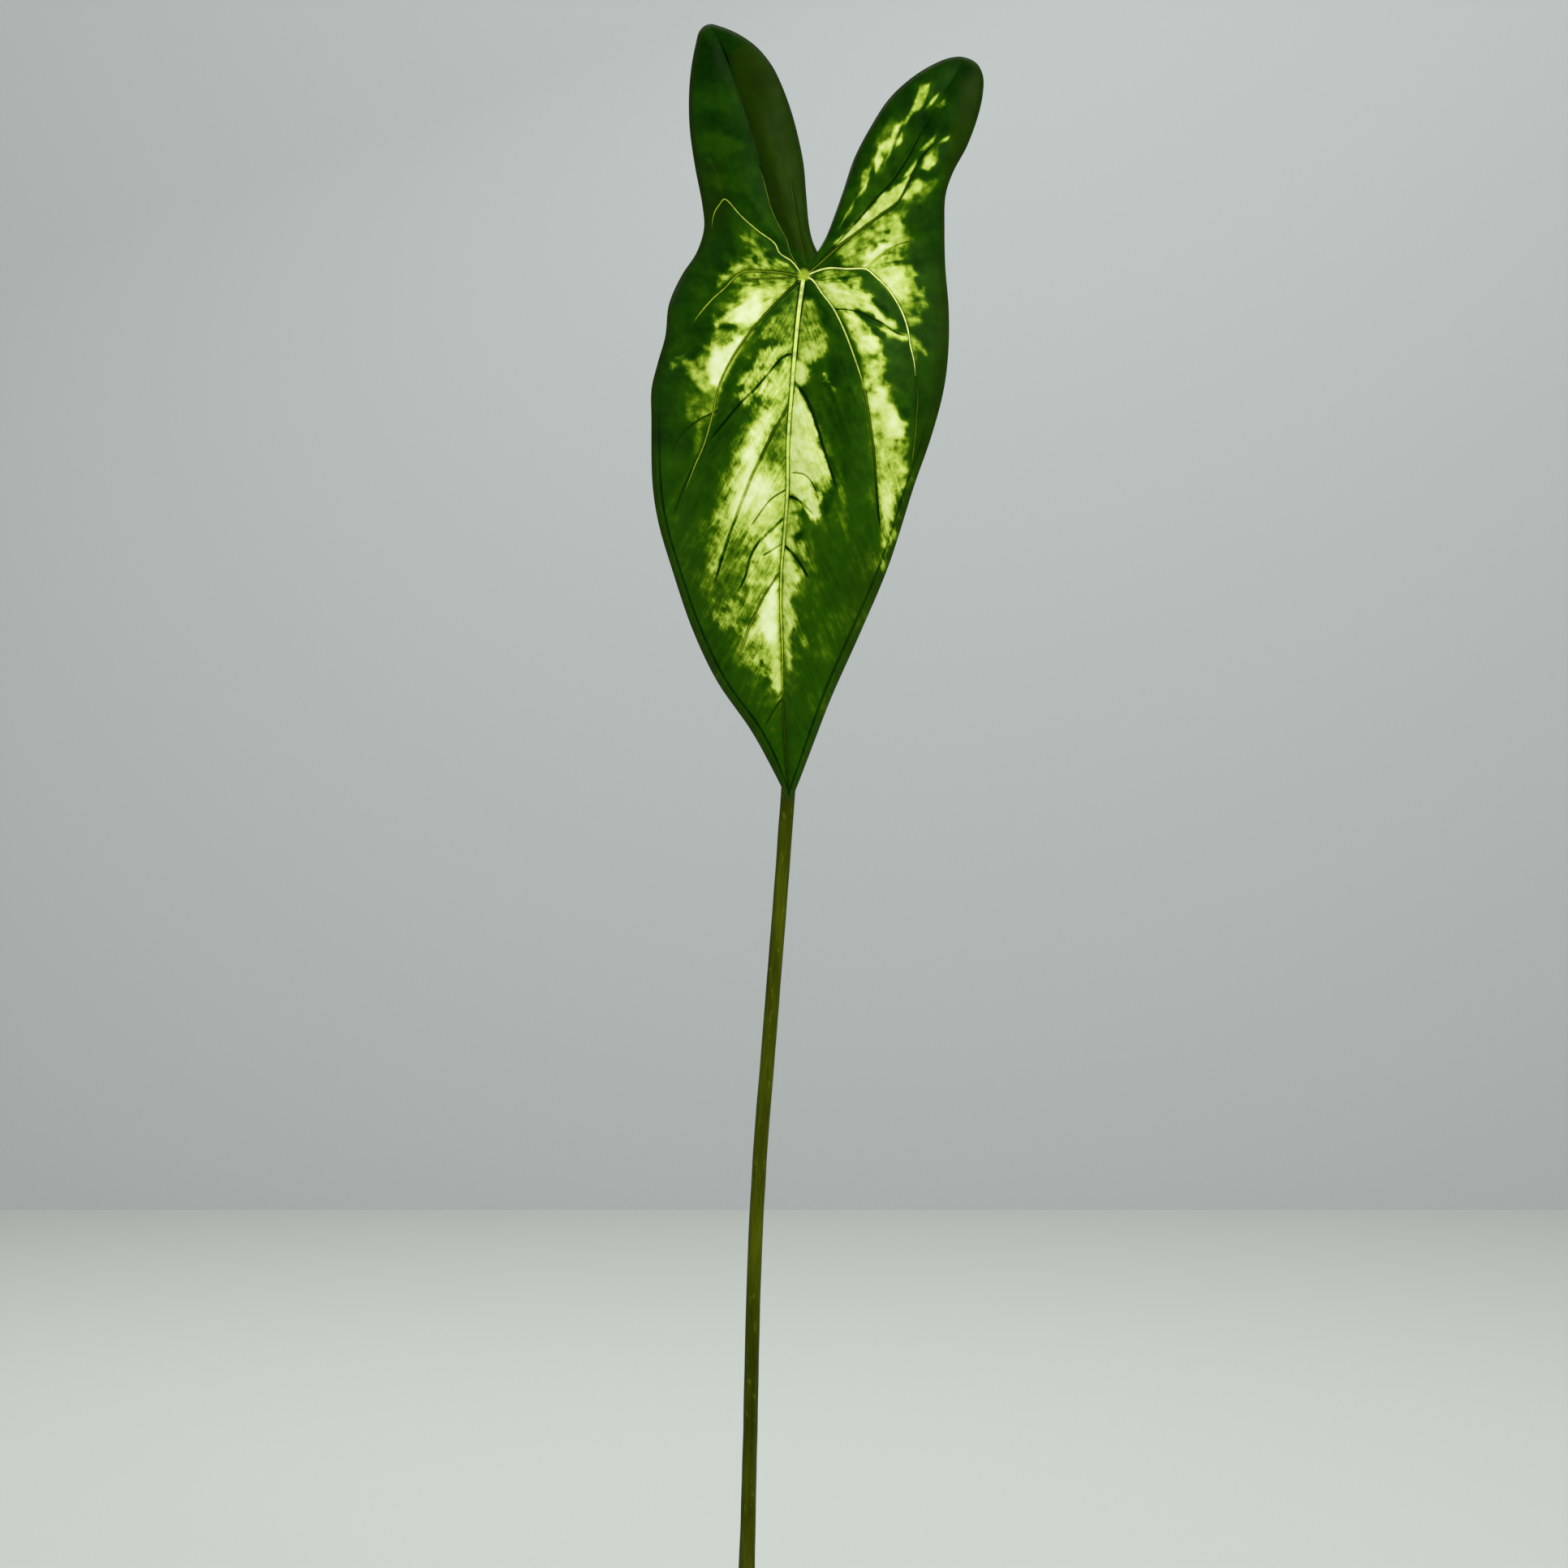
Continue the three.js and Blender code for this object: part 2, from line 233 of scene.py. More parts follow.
def smooth_curve(points):
    """A centripetal Catmull-Rom curve, as many close points; SPAN_STEPS of them to each span."""
    p = np.array(points, float)
    p = np.vstack([2 * p[0] - p[1], p, 2 * p[-1] - p[-2]])
    share = np.linspace(0.0, 1.0, SPAN_STEPS, endpoint=False)[:, None]
    spans = []
    for p0, p1, p2, p3 in zip(p, p[1:], p[2:], p[3:]):
        d0, d1, d2 = (math.sqrt(np.linalg.norm(b - a)) for a, b in ((p0, p1), (p1, p2), (p2, p3)))
        t1 = ((p1 - p0) / d0 - (p2 - p0) / (d0 + d1) + (p2 - p1) / d1) * d1
        t2 = ((p2 - p1) / d1 - (p3 - p1) / (d1 + d2) + (p3 - p2) / d2) * d1
        cubic = 2 * p1 - 2 * p2 + t1 + t2
        square = -3 * p1 + 3 * p2 - 2 * t1 - t2
        spans.append(((cubic * share + square) * share + t1) * share + p1)
    return np.vstack([*spans, p[-2]])


def along(curve, places):
    """Points of a curve at places from 0 to 1, counted by its spans."""
    own = np.linspace(0.0, 1.0, len(curve))
    return np.stack([np.interp(places, own, column) for column in curve.T], axis=1)


def evenly(curve, count):
    """Points of a curve at equal distances."""
    steps = np.linalg.norm(np.diff(curve, axis=0), axis=1)
    length = np.concatenate([[0.0], np.cumsum(steps)])
    return along(curve, np.interp(np.linspace(0, length[-1], count), length, np.linspace(0, 1, len(curve))))


def ripple(points, scale, offset=0.0):
    """Smooth noise from -1 to 1 at each row of 2 or 3 coordinates, on features of about a scale."""
    values = np.empty(len(points))
    for i, point in enumerate(points):
        x, y, *rest = point / scale
        values[i] = noise.noise((x + offset, y - offset, (rest[0] if rest else 0.0) + 0.37 + offset))
    return values


def new_object(name, mesh, *materials):
    obj = bpy.data.objects.new(name, mesh)
    bpy.context.collection.objects.link(obj)
    for material in materials:
        mesh.materials.append(material)
    return obj


def mesh_object(name, vertices, faces, *materials):
    mesh = bpy.data.meshes.new(name)
    mesh.from_pydata([tuple(v) for v in vertices], [], [tuple(f) for f in faces])
    mesh.update()
    mesh.shade_smooth()
    return new_object(name, mesh, *materials)


def set_attribute(mesh, name, values):
    """A number, or three, at each vertex."""
    kind, key = ("FLOAT", "value") if values.ndim == 1 else ("FLOAT_VECTOR", "vector")
    layer = mesh.attributes.new(name, kind, "POINT")
    layer.data.foreach_set(key, values.astype(np.float32).ravel())


# ---- Leaf blade: shape --------------------------------------------------------------------------

# All of the blade is laid out in its own plane, in millimetres from the navel, where the stalk meets
# it: x to the right and z up. The depth y is worked out from there, away from the viewer.

NAVEL = np.array([25.5, -6.0, 739.0])
BLADE_LENGTH = 227.0
MIDRIB_BULGE = 11.0
TIP_SETBACK = 7.0
LOBE_LEAN = 14.0
HALF_CROWN = 0.07
LOBE_CROWN = 0.03
MARGIN_FALL = 0.1
LEFT_LOBE_FOLD = 0.18
FOLD_BEND = 5.0  # how gently the fold bends, in millimetres
SHOULDER_WAVE = 3.2
SHOULDER_LEVEL = -8.0
SHOULDER_REACH = 60.0

TIP = (-6, -227)
SINUS = (6, 13)

LEFT_LOBE_TIP = (-41.5, 114.5)
LEFT_SHOULDER = 10
LEFT_OUTER = [
    LEFT_LOBE_TIP, (-45.2, 111.6), (-47.2, 104.5), (-49.3, 92), (-50, 80), (-49.5, 66.5), (-47.3, 51),
    (-44, 33.5), (-43.3, 23.5), (-46.5, 13.5), (-53.5, 3), (-58.5, -9.5), (-60, -24), (-63.5, -36),
    (-66, -46.5), (-66, -60), (-65.5, -88), (-63, -104.5), (-57.2, -124.5), (-48, -151.5),
    (-37.5, -173.5), (-22.7, -195), (-12.8, -213), TIP,
]
LEFT_INNER = [
    LEFT_LOBE_TIP, (-35.5, 113), (-28, 109.3), (-20, 103.3), (-13.8, 95.5), (-9.8, 87.5), (-5.8, 77),
    (-2.8, 66.5), (0, 52.5), (1.2, 38), (2.4, 24.5), (4, 17.5), SINUS,
]
RIGHT_LOBE_TIP = (70, 99.3)
RIGHT_SHOULDER = 9
RIGHT_OUTER = [
    RIGHT_LOBE_TIP, (75.6, 96.5), (78.3, 91), (78.3, 83.5), (76.2, 73.5), (71.3, 60), (65.2, 48.5),
    (61.9, 38.5), (61.4, 24), (61.8, 7), (63.2, -12), (62.9, -30), (60.8, -47), (55.3, -67.6),
    (47.9, -88.8), (36.6, -124), (24.6, -152.4), (12, -180.6), (3.8, -201.8), (-2, -217), TIP,
]
RIGHT_INNER = [
    RIGHT_LOBE_TIP, (63.5, 98.7), (55, 95), (46, 88.8), (37, 80), (29.2, 67.8), (22, 54),
    (17.5, 40.5), (13.5, 29), (9.5, 19), SINUS,
]
SKELETON_MIDRIB = [
    (0, 0), (-1.8, -28), (-4.4, -57), (-7, -100), (-9, -135), (-9.5, -165), (-8.5, -200), (-6.5, -222),
]
LEFT_LOBE_AXIS = [(-34, 101), (-29.5, 86), (-25, 73), (-20, 57), (-12, 30), (0, 0)]
RIGHT_LOBE_AXIS = [(64.5, 87), (52, 68), (36, 45), (18, 21), (0, 0)]

LOBE_ROWS = 110
BODY_ROWS = 220
OUTER_COLUMNS = 60
INNER_COLUMNS = 30

BLADE_THICKNESS = 0.55
MARGIN_ROLL = 1.9  # how far the margin itself is rolled back
MARGIN_ROLL_WIDTH = 3.2
RIB_HEIGHT = 1.0  # of the midrib, on the back


def skeleton_depth(z):
    body = np.clip(-z / BLADE_LENGTH, 0.0, 1.0)
    hang = TIP_SETBACK * body - MIDRIB_BULGE * np.sin(math.pi * body)
    return np.where(z > 0, LOBE_LEAN * (z / 110.0) ** 2, hang)


def crown(z):
    """How strongly a half swells forward at a level of the skeleton."""
    lobe = LOBE_CROWN * (1.0 - smoothstep(z, 60.0, 95.0))
    return HALF_CROWN + (lobe - HALF_CROWN) * smoothstep(z, -25.0, 25.0)


def shoulder_wave(z):
    window = np.clip(1.0 - ((z - SHOULDER_LEVEL) / SHOULDER_REACH) ** 2, 0.0, None)
    return SHOULDER_WAVE * window**2 * np.sin((z - SHOULDER_LEVEL) / 9.0)


def lobe_fold(z):
    return LEFT_LOBE_FOLD * smoothstep(z, 16.0, 55.0) * (1.0 - smoothstep(z, 60.0, 98.0))


def blade_strip(side, skeleton, margin, columns, fold=None, wave=None):
    """Rows of points from the skeleton out to the margin, with what the finer relief needs."""
    share = np.linspace(0.0, 1.0, columns + 1)[None, :, None]
    inner, outer = skeleton[:, None, :], margin[:, None, :]
    plane = inner + (outer - inner) * share
    share = share[..., 0]
    width = np.linalg.norm(outer - inner, axis=2)
    z = plane[..., 1]
    swell = crown(inner[..., 1]) * width * np.sin(math.pi * share)
    depth = skeleton_depth(inner[..., 1]) - swell
    depth = depth + MARGIN_FALL * width * share**2
    if fold:
        depth = depth + fold(z) * (np.hypot(width * share, FOLD_BEND) - FOLD_BEND)
    if wave:
        depth = depth + wave(z) * share**3
    shape = depth.shape
    return {
        "plane": plane,
        "depth": depth,
        "side": side,
        "to_margin": np.broadcast_to(width * (1.0 - share), shape),
        "share": np.broadcast_to(share, shape),
    }


def blade_strips():
    """The blade's four strips, each from the skeleton out to the margin."""
    left_outer, left_inner = margins(LEFT_OUTER, LEFT_INNER, LEFT_SHOULDER)
    right_outer, right_inner = margins(RIGHT_OUTER, RIGHT_INNER, RIGHT_SHOULDER)
    midrib = evenly(smooth_curve(SKELETON_MIDRIB), BODY_ROWS + 1)[1:]
    left_axis = evenly(smooth_curve(LEFT_LOBE_AXIS), LOBE_ROWS + 1)
    right_axis = evenly(smooth_curve(RIGHT_LOBE_AXIS), LOBE_ROWS + 1)
    left = np.vstack([left_axis, midrib])
    right = np.vstack([right_axis, midrib])
    return [
        blade_strip(-1, left, left_outer, OUTER_COLUMNS, wave=shoulder_wave),
        blade_strip(1, right, right_outer, OUTER_COLUMNS),
        blade_strip(1, left_axis, left_inner, INNER_COLUMNS, fold=lobe_fold),
        blade_strip(-1, right_axis, right_inner, INNER_COLUMNS),
    ]


def margins(outer, inner, shoulder):
    """The outer and the inner margin of one half, parts of one smooth line round its lobe tip."""
    line = smooth_curve([*outer[::-1], *inner[1:]])
    tip = SPAN_STEPS * (len(outer) - 1)
    turn = shoulder / (len(outer) - 1)
    lobe = np.linspace(0.0, turn, LOBE_ROWS + 1)
    body = np.linspace(turn, 1.0, BODY_ROWS + 1)[1:]
    outer_points = along(line[tip::-1], np.concatenate([lobe, body]))
    return outer_points, along(line[tip:], np.linspace(0.0, 1.0, LOBE_ROWS + 1))


# ---- Leaf blade: veins --------------------------------------------------------------------------

# Each vein: its half-width in millimetres at its start and at its end, how pale it is from 0 to 1 at
# its start and at its end, and the points it follows. Veins that meet are kept in different sets.
VEINS = {
    "side": [
        (0.3, 0.2, 0.2, 0.3, [(-5, 2.3), (-10, 2.1), (-16, 1.8), (-22, 1.6), (-27, 0.2)]),
        (0.25, 0.2, 0.25, 0.3, [
            (-3, 8), (-6, 13.6), (-7.5, 19), (-12, 27.3), (-14.2, 32.6), (-17, 43), (-19, 50),
        ]),
        (0.25, 0.2, 0.1, 0.15, [(1.5, 9), (-1, 17), (-3.6, 31), (-6, 46)]),
        (0.3, 0.2, 0.1, 0.0, [
            (7, 9), (15, 17.5), (26, 29.8), (31.7, 36.8), (38, 43.2), (42.5, 49.6), (47, 57), (50, 63),
            (54, 70),
        ]),
        (0.35, 0.2, 0.8, 0.2, [(27.5, 6.4), (32.4, 11), (37.3, 14.6), (42.3, 17), (50, 18.5)]),
        (0.2, 0.26, 0.0, 0.1, [
            (13.7, -11.5), (18.6, -11.6), (24.6, -12.9), (29.2, -15), (35, -18), (40, -21.5),
            (45.5, -23.5),
        ]),
        (0.35, 0.3, 0.0, 0.0, [
            (-5, -31), (-8.5, -32), (-15, -39), (-20, -45), (-28, -53), (-35.5, -62), (-42, -70),
        ]),
        (0.5, 0.4, 0.15, 0.0, [
            (-6.2, -53), (-9.6, -58.8), (-13.8, -66), (-18.5, -76), (-22, -83), (-25, -90.5), (-28, -98),
            (-30.6, -105), (-34, -115), (-37, -125), (-39.5, -134),
        ]),
        (0.3, 0.25, 0.2, 0.1, [(-8.5, -90.5), (-14, -94), (-18.5, -99.5), (-23, -106)]),
        (0.4, 0.3, 0.0, 0.0, [
            (-9.4, -103), (-14, -107.5), (-20, -113.5), (-23, -119), (-25.8, -129), (-29, -135),
        ]),
        (0.3, 0.25, 0.0, 0.1, [(-11, -114.5), (-14, -116.5), (-18, -118.8)]),
        (0.4, 0.3, 0.1, 0.6, [
            (-11.2, -127), (-15.3, -133.3), (-18.8, -139), (-21.3, -145), (-24.2, -151), (-26.2, -157),
            (-28.4, -163),
        ]),
        (0.5, 0.3, 0.0, 0.0, [
            (-4.2, -43), (0, -48.2), (3.2, -55), (6.3, -64), (9.3, -74), (12.3, -83), (15, -92),
        ]),
        (0.4, 0.3, 0.0, 0.0, [(-6.4, -93), (-3, -94), (0.5, -97), (4.5, -101)]),
        (0.25, 0.2, 0.1, 0.0, [(-4, -82.5), (0.5, -83.5), (4, -87.5), (6, -92)]),
        (0.4, 0.35, 0.0, 0.0, [(-8.6, -114), (-5, -117.5), (-1, -123), (2.5, -129)]),
        (0.3, 0.2, 0.1, 0.1, [(-9.5, -181), (-13, -186), (-17, -193)]),
        (0.3, 0.2, 0.1, 0.1, [(-38, -56), (-46, -60), (-53, -66), (-58, -75)]),
        (0.3, 0.2, 0.05, 0.1, [(-43, -71), (-50, -84), (-57, -102)]),
    ],
    "fan": [
        (0.5, 0.25, 0.05, 0.6, [
            (0, 2.5), (-10, -7), (-20, -17.5), (-30, -31), (-36.5, -44), (-39.5, -57), (-43.5, -71),
            (-47.5, -80), (-52, -92),
        ]),
        (0.34, 0.16, 0.85, 0.6, [
            (0, 2.5), (-5, 9.2), (-10.5, 13), (-12.4, 17), (-20, 22.7), (-27.5, 29.3), (-33, 35.6),
            (-34.5, 36.4), (-36.5, 34), (-38.5, 31), (-39.6, 27), (-40, 22.5),
        ]),
        (0.4, 0.35, 0.3, 0.0, [
            (0, 2.5), (7, 8.3), (14.8, 15.3), (24.4, 22.7), (35.2, 30.5), (40.9, 34.8), (44.5, 41),
            (47.5, 47), (50, 52.5), (55.5, 59.5), (60, 63),
        ]),
        (0.4, 0.3, 1.0, 0.6, [
            (0, 2.5), (3.5, 1.6), (7.7, -4.1), (13, -11.2), (18, -21.5), (22.2, -32.7), (25.4, -42.5),
            (26.5, -48),
        ]),
        (0.4, 0.3, 0.25, 0.0, [
            (26.6, -47), (27.5, -52), (29, -62), (30.4, -72), (31.2, -82), (31.8, -91), (32.6, -101),
            (33.8, -110),
        ]),
    ],
    "main": [
        (0.85, 0.32, 0.95, 0.6, [
            (0, 2.5), (-2, -12), (-3.8, -30), (-5.4, -50), (-6.8, -70), (-7, -90), (-8.2, -108),
            (-9.6, -124), (-9.9, -140), (-9.2, -160), (-9, -184),
        ]),
        (0.3, 0.2, 0.15, 0.2, [(-9, -181), (-7.8, -204), (-6.3, -220)]),
        (0.45, 0.3, 0.25, 0.6, [
            (0, 2.5), (-9, 4.2), (-18, 5), (-26, 4.7), (-29.5, 2.6), (-34.5, -2.6), (-39, -6.5),
            (-44, -12), (-48.5, -18),
        ]),
        (0.4, 0.3, 0.95, 1.0, [
            (0, 2.5), (6, 5.2), (11, 6.4), (19, 6.1), (25.5, 6.3), (27.6, 5.9), (31.5, 2.6), (36, -1.7),
            (39.2, -6),
            (43, -13), (45.3, -20), (46.5, -27.4), (48, -34), (48.8, -42),
        ]),
        (0.3, 0.25, 0.1, 0.3, [(48.8, -41), (49.7, -50), (49.2, -58), (48.6, -67), (47, -79)]),
    ],
}
VEIN_END = 0.85  # a vein thins out over the rest of its length


def nearest_on(line, points):
    """From each point to a line: the distance, the same with a sign, and how far along from 0 to 1."""
    best = np.full(len(points), np.inf)
    side = np.zeros(len(points))
    where = np.zeros(len(points))
    for i, (a, b) in enumerate(zip(line, line[1:])):
        run = b - a
        offset = points - a
        t = np.clip(offset @ run / (run @ run), 0.0, 1.0)
        distance = np.linalg.norm(offset - t[:, None] * run, axis=1)
        closer = distance < best
        best[closer] = distance[closer]
        side[closer] = np.sign(run[0] * offset[closer, 1] - run[1] * offset[closer, 0])
        where[closer] = (i + t[closer]) / (len(line) - 1)
    return best, best * side, where


def vein_fields(points):
    """For each set of veins, at each point: the nearest vein's side, reach, half-width and paleness.

    The side is the distance with a sign, so that it crosses zero on the vein; the reach has none.
    """
    fields = {}
    for name, veins in VEINS.items():
        field = {key: np.zeros(len(points)) for key in ("side", "reach", "width", "pale")}
        score = np.full(len(points), np.inf)
        for start, end, pale_start, pale_end, route in veins:
            reach, side, where = nearest_on(evenly(smooth_curve(route), 5 * len(route)), points)
            width = (start + (end - start) * where) * (1.02 - smoothstep(where, VEIN_END, 1.0))
            pale = pale_start + (pale_end - pale_start) * where
            closer = reach - width < score
            score[closer] = (reach - width)[closer]
            for key, values in (("side", side), ("reach", reach), ("width", width), ("pale", pale)):
                field[key][closer] = values[closer]
        fields[name] = field
    return fields


# ---- Leaf blade: variegation --------------------------------------------------------------------

# Each patch: its tone, from 0 for dark green through yellow-green to 1 for cream white, how softly
# its edge fades in millimetres, how ragged the edge is, and its outline. Later ones cover earlier.
PATCHES = [
    # Right lobe, from its tip down to the navel.
    (0.58, 0.5, 0.3, [
        (55, 86.5), (50.5, 86), (48.5, 80), (46, 74), (43, 69), (44.5, 69), (48, 73.5), (52, 77.5),
    ]),
    (0.22, 0.9, 1.0, [(42, 70), (38, 71), (33, 65), (30.5, 60), (34, 58), (39, 63)]),
    (0.8, 0.5, 0.4, [
        (43, 70), (37.5, 63.5), (32.5, 58.5), (31, 53), (31, 48.5), (34.5, 53), (38, 58), (41, 65),
    ]),
    (0.8, 0.4, 0.4, [(42.5, 64), (40, 61.5), (40, 59), (42, 61)]),
    (0.6, 0.5, 0.4, [(38.5, 58), (36, 55.5), (36, 52.5), (38, 55)]),
    (0.5, 0.6, 0.6, [(30, 53), (26, 48), (25, 42), (28, 44)]),
    (0.78, 0.3, 0.2, [(28.8, 45), (26, 41.5), (23, 36.5), (24, 36.5), (27, 40.5)]),
    (0.45, 0.3, 0.2, [(22.5, 36), (18, 29), (15, 24), (17, 26), (21, 32)]),
    (0.82, 0.3, 0.2, [(58.5, 82), (55.5, 79), (53.5, 76), (56, 78)]),
    (0.4, 0.4, 0.5, [(61, 79.5), (58, 77), (59.5, 75.5), (62, 77)]),
    (0.7, 0.4, 0.4, [(57.5, 64.5), (53.5, 61), (50.5, 57.5), (53, 58), (56.5, 61.5)]),
    (0.78, 0.3, 0.3, [(63.5, 64), (60.5, 62.5), (59, 60.8), (62.5, 61.5)]),
    (0.3, 0.6, 0.8, [(59, 60), (55, 58), (52, 54), (53, 51), (58, 52), (58.5, 56)]),
    (0.72, 0.4, 0.3, [(56, 57), (53, 55), (51, 50), (54, 48.8), (57, 51), (57, 54)]),
    (0.22, 0.9, 1.0, [(58, 45), (52, 44), (49, 40), (49, 34), (53, 38), (57, 42)]),
    (0.76, 0.5, 0.6, [(50.5, 46), (47, 43.5), (44, 39), (41.8, 36), (47, 37), (51.5, 41), (52, 44)]),
    (0.75, 0.5, 0.4, [(49, 53.5), (45, 48.5), (43, 45.5), (45.5, 46.5), (49.5, 51)]),
    (0.8, 0.5, 0.7, [
        (46, 46), (42, 43.5), (36, 40), (31, 35.5), (25, 28), (19, 22.5), (13, 17), (13.5, 15.8),
        (21, 20.5), (30, 27.5), (41, 35.3), (44, 40),
    ]),
    (0.55, 1.2, 1.8, [
        (39, 30.5), (36, 29), (30, 25.5), (22, 19.5), (14.5, 13), (17, 8), (28, 6.6), (33, 11), (42, 14.5),
        (47, 18.5), (43, 21), (44, 23.5), (40, 26),
    ]),
    (0.48, 1.2, 1.6, [(43, 32), (37, 30), (31, 26.5), (33, 25.5), (40, 27.5), (44, 30.5)]),
    (0.6, 1.5, 1.8, [(42, 20.5), (36, 21), (28, 18), (20, 14), (21, 10), (29, 8.5), (36, 13), (41, 16)]),
    (0.97, 1.5, 1.5, [(41, 16.5), (34, 16), (27.5, 12), (29, 8.5), (35, 11), (41, 13.5)]),
    (0.8, 0.8, 0.8, [(24, 7), (29, 6), (36, 7.5), (42, 10.5), (39, 13.5), (31, 11)]),
    # Right half, outside the upper right vein.
    (0.6, 1.2, 2.0, [
        (46, 7), (40, 8), (28.5, 6), (32, 2.5), (36.5, -2), (40, -7), (42, -10), (47, -9), (52.5, -6),
        (52.5, -3),
        (48, -1), (49, 3),
    ]),
    (0.8, 1.4, 1.2, [(41, 7), (34, 7.5), (29.5, 5.5), (35, 0), (39.5, -5.5), (45, -7), (46, -1), (44, 4)]),
    (0.52, 1.2, 1.4, [(52, -6), (41.5, -8.5), (43.8, -13), (46, -18.5), (52.5, -18), (53, -12)]),
    (0.5, 0.8, 1.0, [(48, -23), (46.4, -23), (47.5, -29), (48.5, -34), (49, -28), (53.5, -31), (51, -26)]),
    # Between the two right veins.
    (0.42, 1.0, 2.0, [(18, 5.5), (10, 5.5), (6, 3), (12, 1), (18, 2), (22, 4)]),
    (0.78, 1.1, 1.8, [
        (24, 0.5), (19, 1), (12, 1.5), (5, 0.6), (8, -4), (13.5, -10.8), (24, -12.4), (30, -14.6),
        (36, -18),
        (39, -19), (36.5, -14), (30, -8.5), (26, -5),
    ]),
    (0.95, 1.4, 1.2, [(15, 0), (9.5, -1), (11, -5), (15, -6)]),
    (0.9, 1.4, 1.2, [(26, -6), (22, -8), (24, -11), (31, -14), (35, -15.5), (31, -10.5)]),
    (0.0, 0.7, 0.8, [(31, -8.5), (35, -9.5), (39.5, -16), (36, -15)]),
    (0.12, 0.7, 1.5, [(22, -0.5), (15, 2), (17, 0), (21, -3)]),
    (0.82, 0.8, 0.7, [
        (46, -22.8), (41, -21.8), (36, -19.3), (32, -18.8), (33, -20.5), (38, -23), (43, -25.5),
        (46, -25),
    ]),
    (0.72, 1.4, 1.5, [
        (30, -20.5), (28.5, -17), (22, -13.4), (15.5, -12.5), (20.2, -19), (24, -29), (25.5, -31.8),
        (33.5, -31), (32.5, -25),
    ]),
    (0.88, 1.5, 1.5, [(27, -20), (22.5, -18), (23, -22), (25, -28), (30, -28)]),
    (0.64, 1.3, 1.6, [(35, -33), (25.6, -32.5), (26.6, -41), (33.5, -42), (35, -38)]),
    (0.64, 1.3, 2.0, [
        (34, -41), (25.6, -42), (27.5, -52), (29.2, -62), (30.8, -72), (32, -84), (33.3, -96), (34.5, -110),
        (37, -111), (39, -103), (41, -95), (43, -89), (44.5, -80), (45, -70), (44.5, -60), (37.5, -50),
    ]),
    (0.92, 1.8, 1.2, [(33, -46), (28, -49), (31, -58), (34, -66), (43, -67), (44, -60), (39, -52)]),
    (0.76, 1.4, 1.5, [(41, -90), (34.5, -90), (35.5, -101), (38.5, -107), (40.5, -98)]),
    (0.45, 1.0, 1.4, [(39.5, -107), (34.8, -109), (33.6, -118), (34, -124), (37, -117)]),
    (0.62, 0.6, 1.0, [(9, -39.5), (11, -42), (14, -46.5), (12.5, -46), (9.5, -43.5)]),
    # Right of the midrib.
    (0.44, 1.4, 1.6, [
        (4, -7), (0, -8), (-2.4, -20), (-3.6, -32), (0, -34), (5, -33.5), (8, -30), (8.5, -25), (6, -21),
        (8, -15),
    ]),
    (0.72, 1.4, 1.4, [(5, -26), (0, -29), (-1, -33), (3, -34.5), (7, -31.5)]),
    (0.82, 0.8, 0.8, [(0, -34.5), (-4, -33.5), (-4.8, -41), (-2.5, -47), (1.2, -43.5), (2.4, -38)]),
    (0.2, 2.0, 1.5, [(8, -55), (2, -49), (3, -53), (9, -70), (12, -78), (11, -66)]),
    (0.84, 0.7, 0.8, [
        (-3.6, -43.5), (-5.4, -55), (-6.3, -70), (-6.2, -90), (-4, -93.5), (0, -97.5), (3, -101.5),
        (5, -103), (6.5, -102), (7, -98), (11, -90), (11.6, -83), (8.6, -74), (5.6, -64), (2.5, -55),
    ]),
    (0.5, 1.0, 1.4, [(12, -84), (8, -83), (7.5, -90), (10.5, -92)]),
    (0.05, 0.9, 1.0, [(9, -91), (7, -91), (7.5, -97), (8.5, -103), (12, -98), (14, -90)]),
    (0.35, 0.8, 1.0, [(5.5, -87), (3.5, -86.5), (5, -93), (6.5, -96), (7, -91)]),
    (0.3, 1.6, 1.5, [(15, -82), (16, -96), (18, -113), (19.5, -113), (18, -96), (16.5, -85)]),
    (0.6, 1.0, 1.8, [
        (-3, -95), (-7.4, -94), (-8.3, -108), (-8, -114), (-4.5, -116.5), (0, -123), (1.5, -120),
        (0, -114), (-1, -104), (0, -99),
    ]),
    (0.0, 0.7, 1.2, [(-2, -108), (-5, -110), (-4, -113), (0, -112), (1, -108)]),
    (0.72, 1.0, 1.4, [
        (-5, -118), (-9, -116), (-9.4, -130), (-9.4, -150), (-8.6, -160), (-6, -168), (-5, -163),
        (-6, -156), (-4.5, -150), (-3, -146), (-6, -138), (-3, -134), (-2, -130), (-3, -124),
    ]),
    (0.35, 1.2, 2.0, [(-1, -146), (-4, -150), (-2, -156), (3, -158), (5, -155), (0, -152)]),
    # Left of the midrib, down to its tail.
    (0.42, 1.4, 2.6, [
        (-3, -4), (-8, -10), (-15, -17), (-17, -24), (-12, -27), (-5, -28), (-3.5, -18),
    ]),
    (0.05, 0.9, 1.2, [(-8, -11), (-14, -12), (-13, -14), (-9, -13)]),
    (0.78, 1.4, 2.0, [
        (-5, -27), (-11, -26), (-17, -29), (-22, -33), (-20, -37), (-14, -38), (-9, -33), (-5, -31),
    ]),
    (0.62, 1.3, 2.2, [
        (-20, -35), (-25, -38), (-28, -43), (-25, -46), (-29, -49), (-26, -52), (-20, -44), (-14, -38.5),
    ]),
    (0.76, 1.4, 1.4, [
        (-4.4, -32), (-9.5, -34), (-15, -40.5), (-21, -47), (-17, -51), (-8, -52), (-5.6, -48),
    ]),
    (0.68, 3.6, 1.1, [
        (-6, -51), (-14, -52), (-19, -55), (-22, -61), (-26, -67), (-29, -74), (-31, -82), (-34, -91),
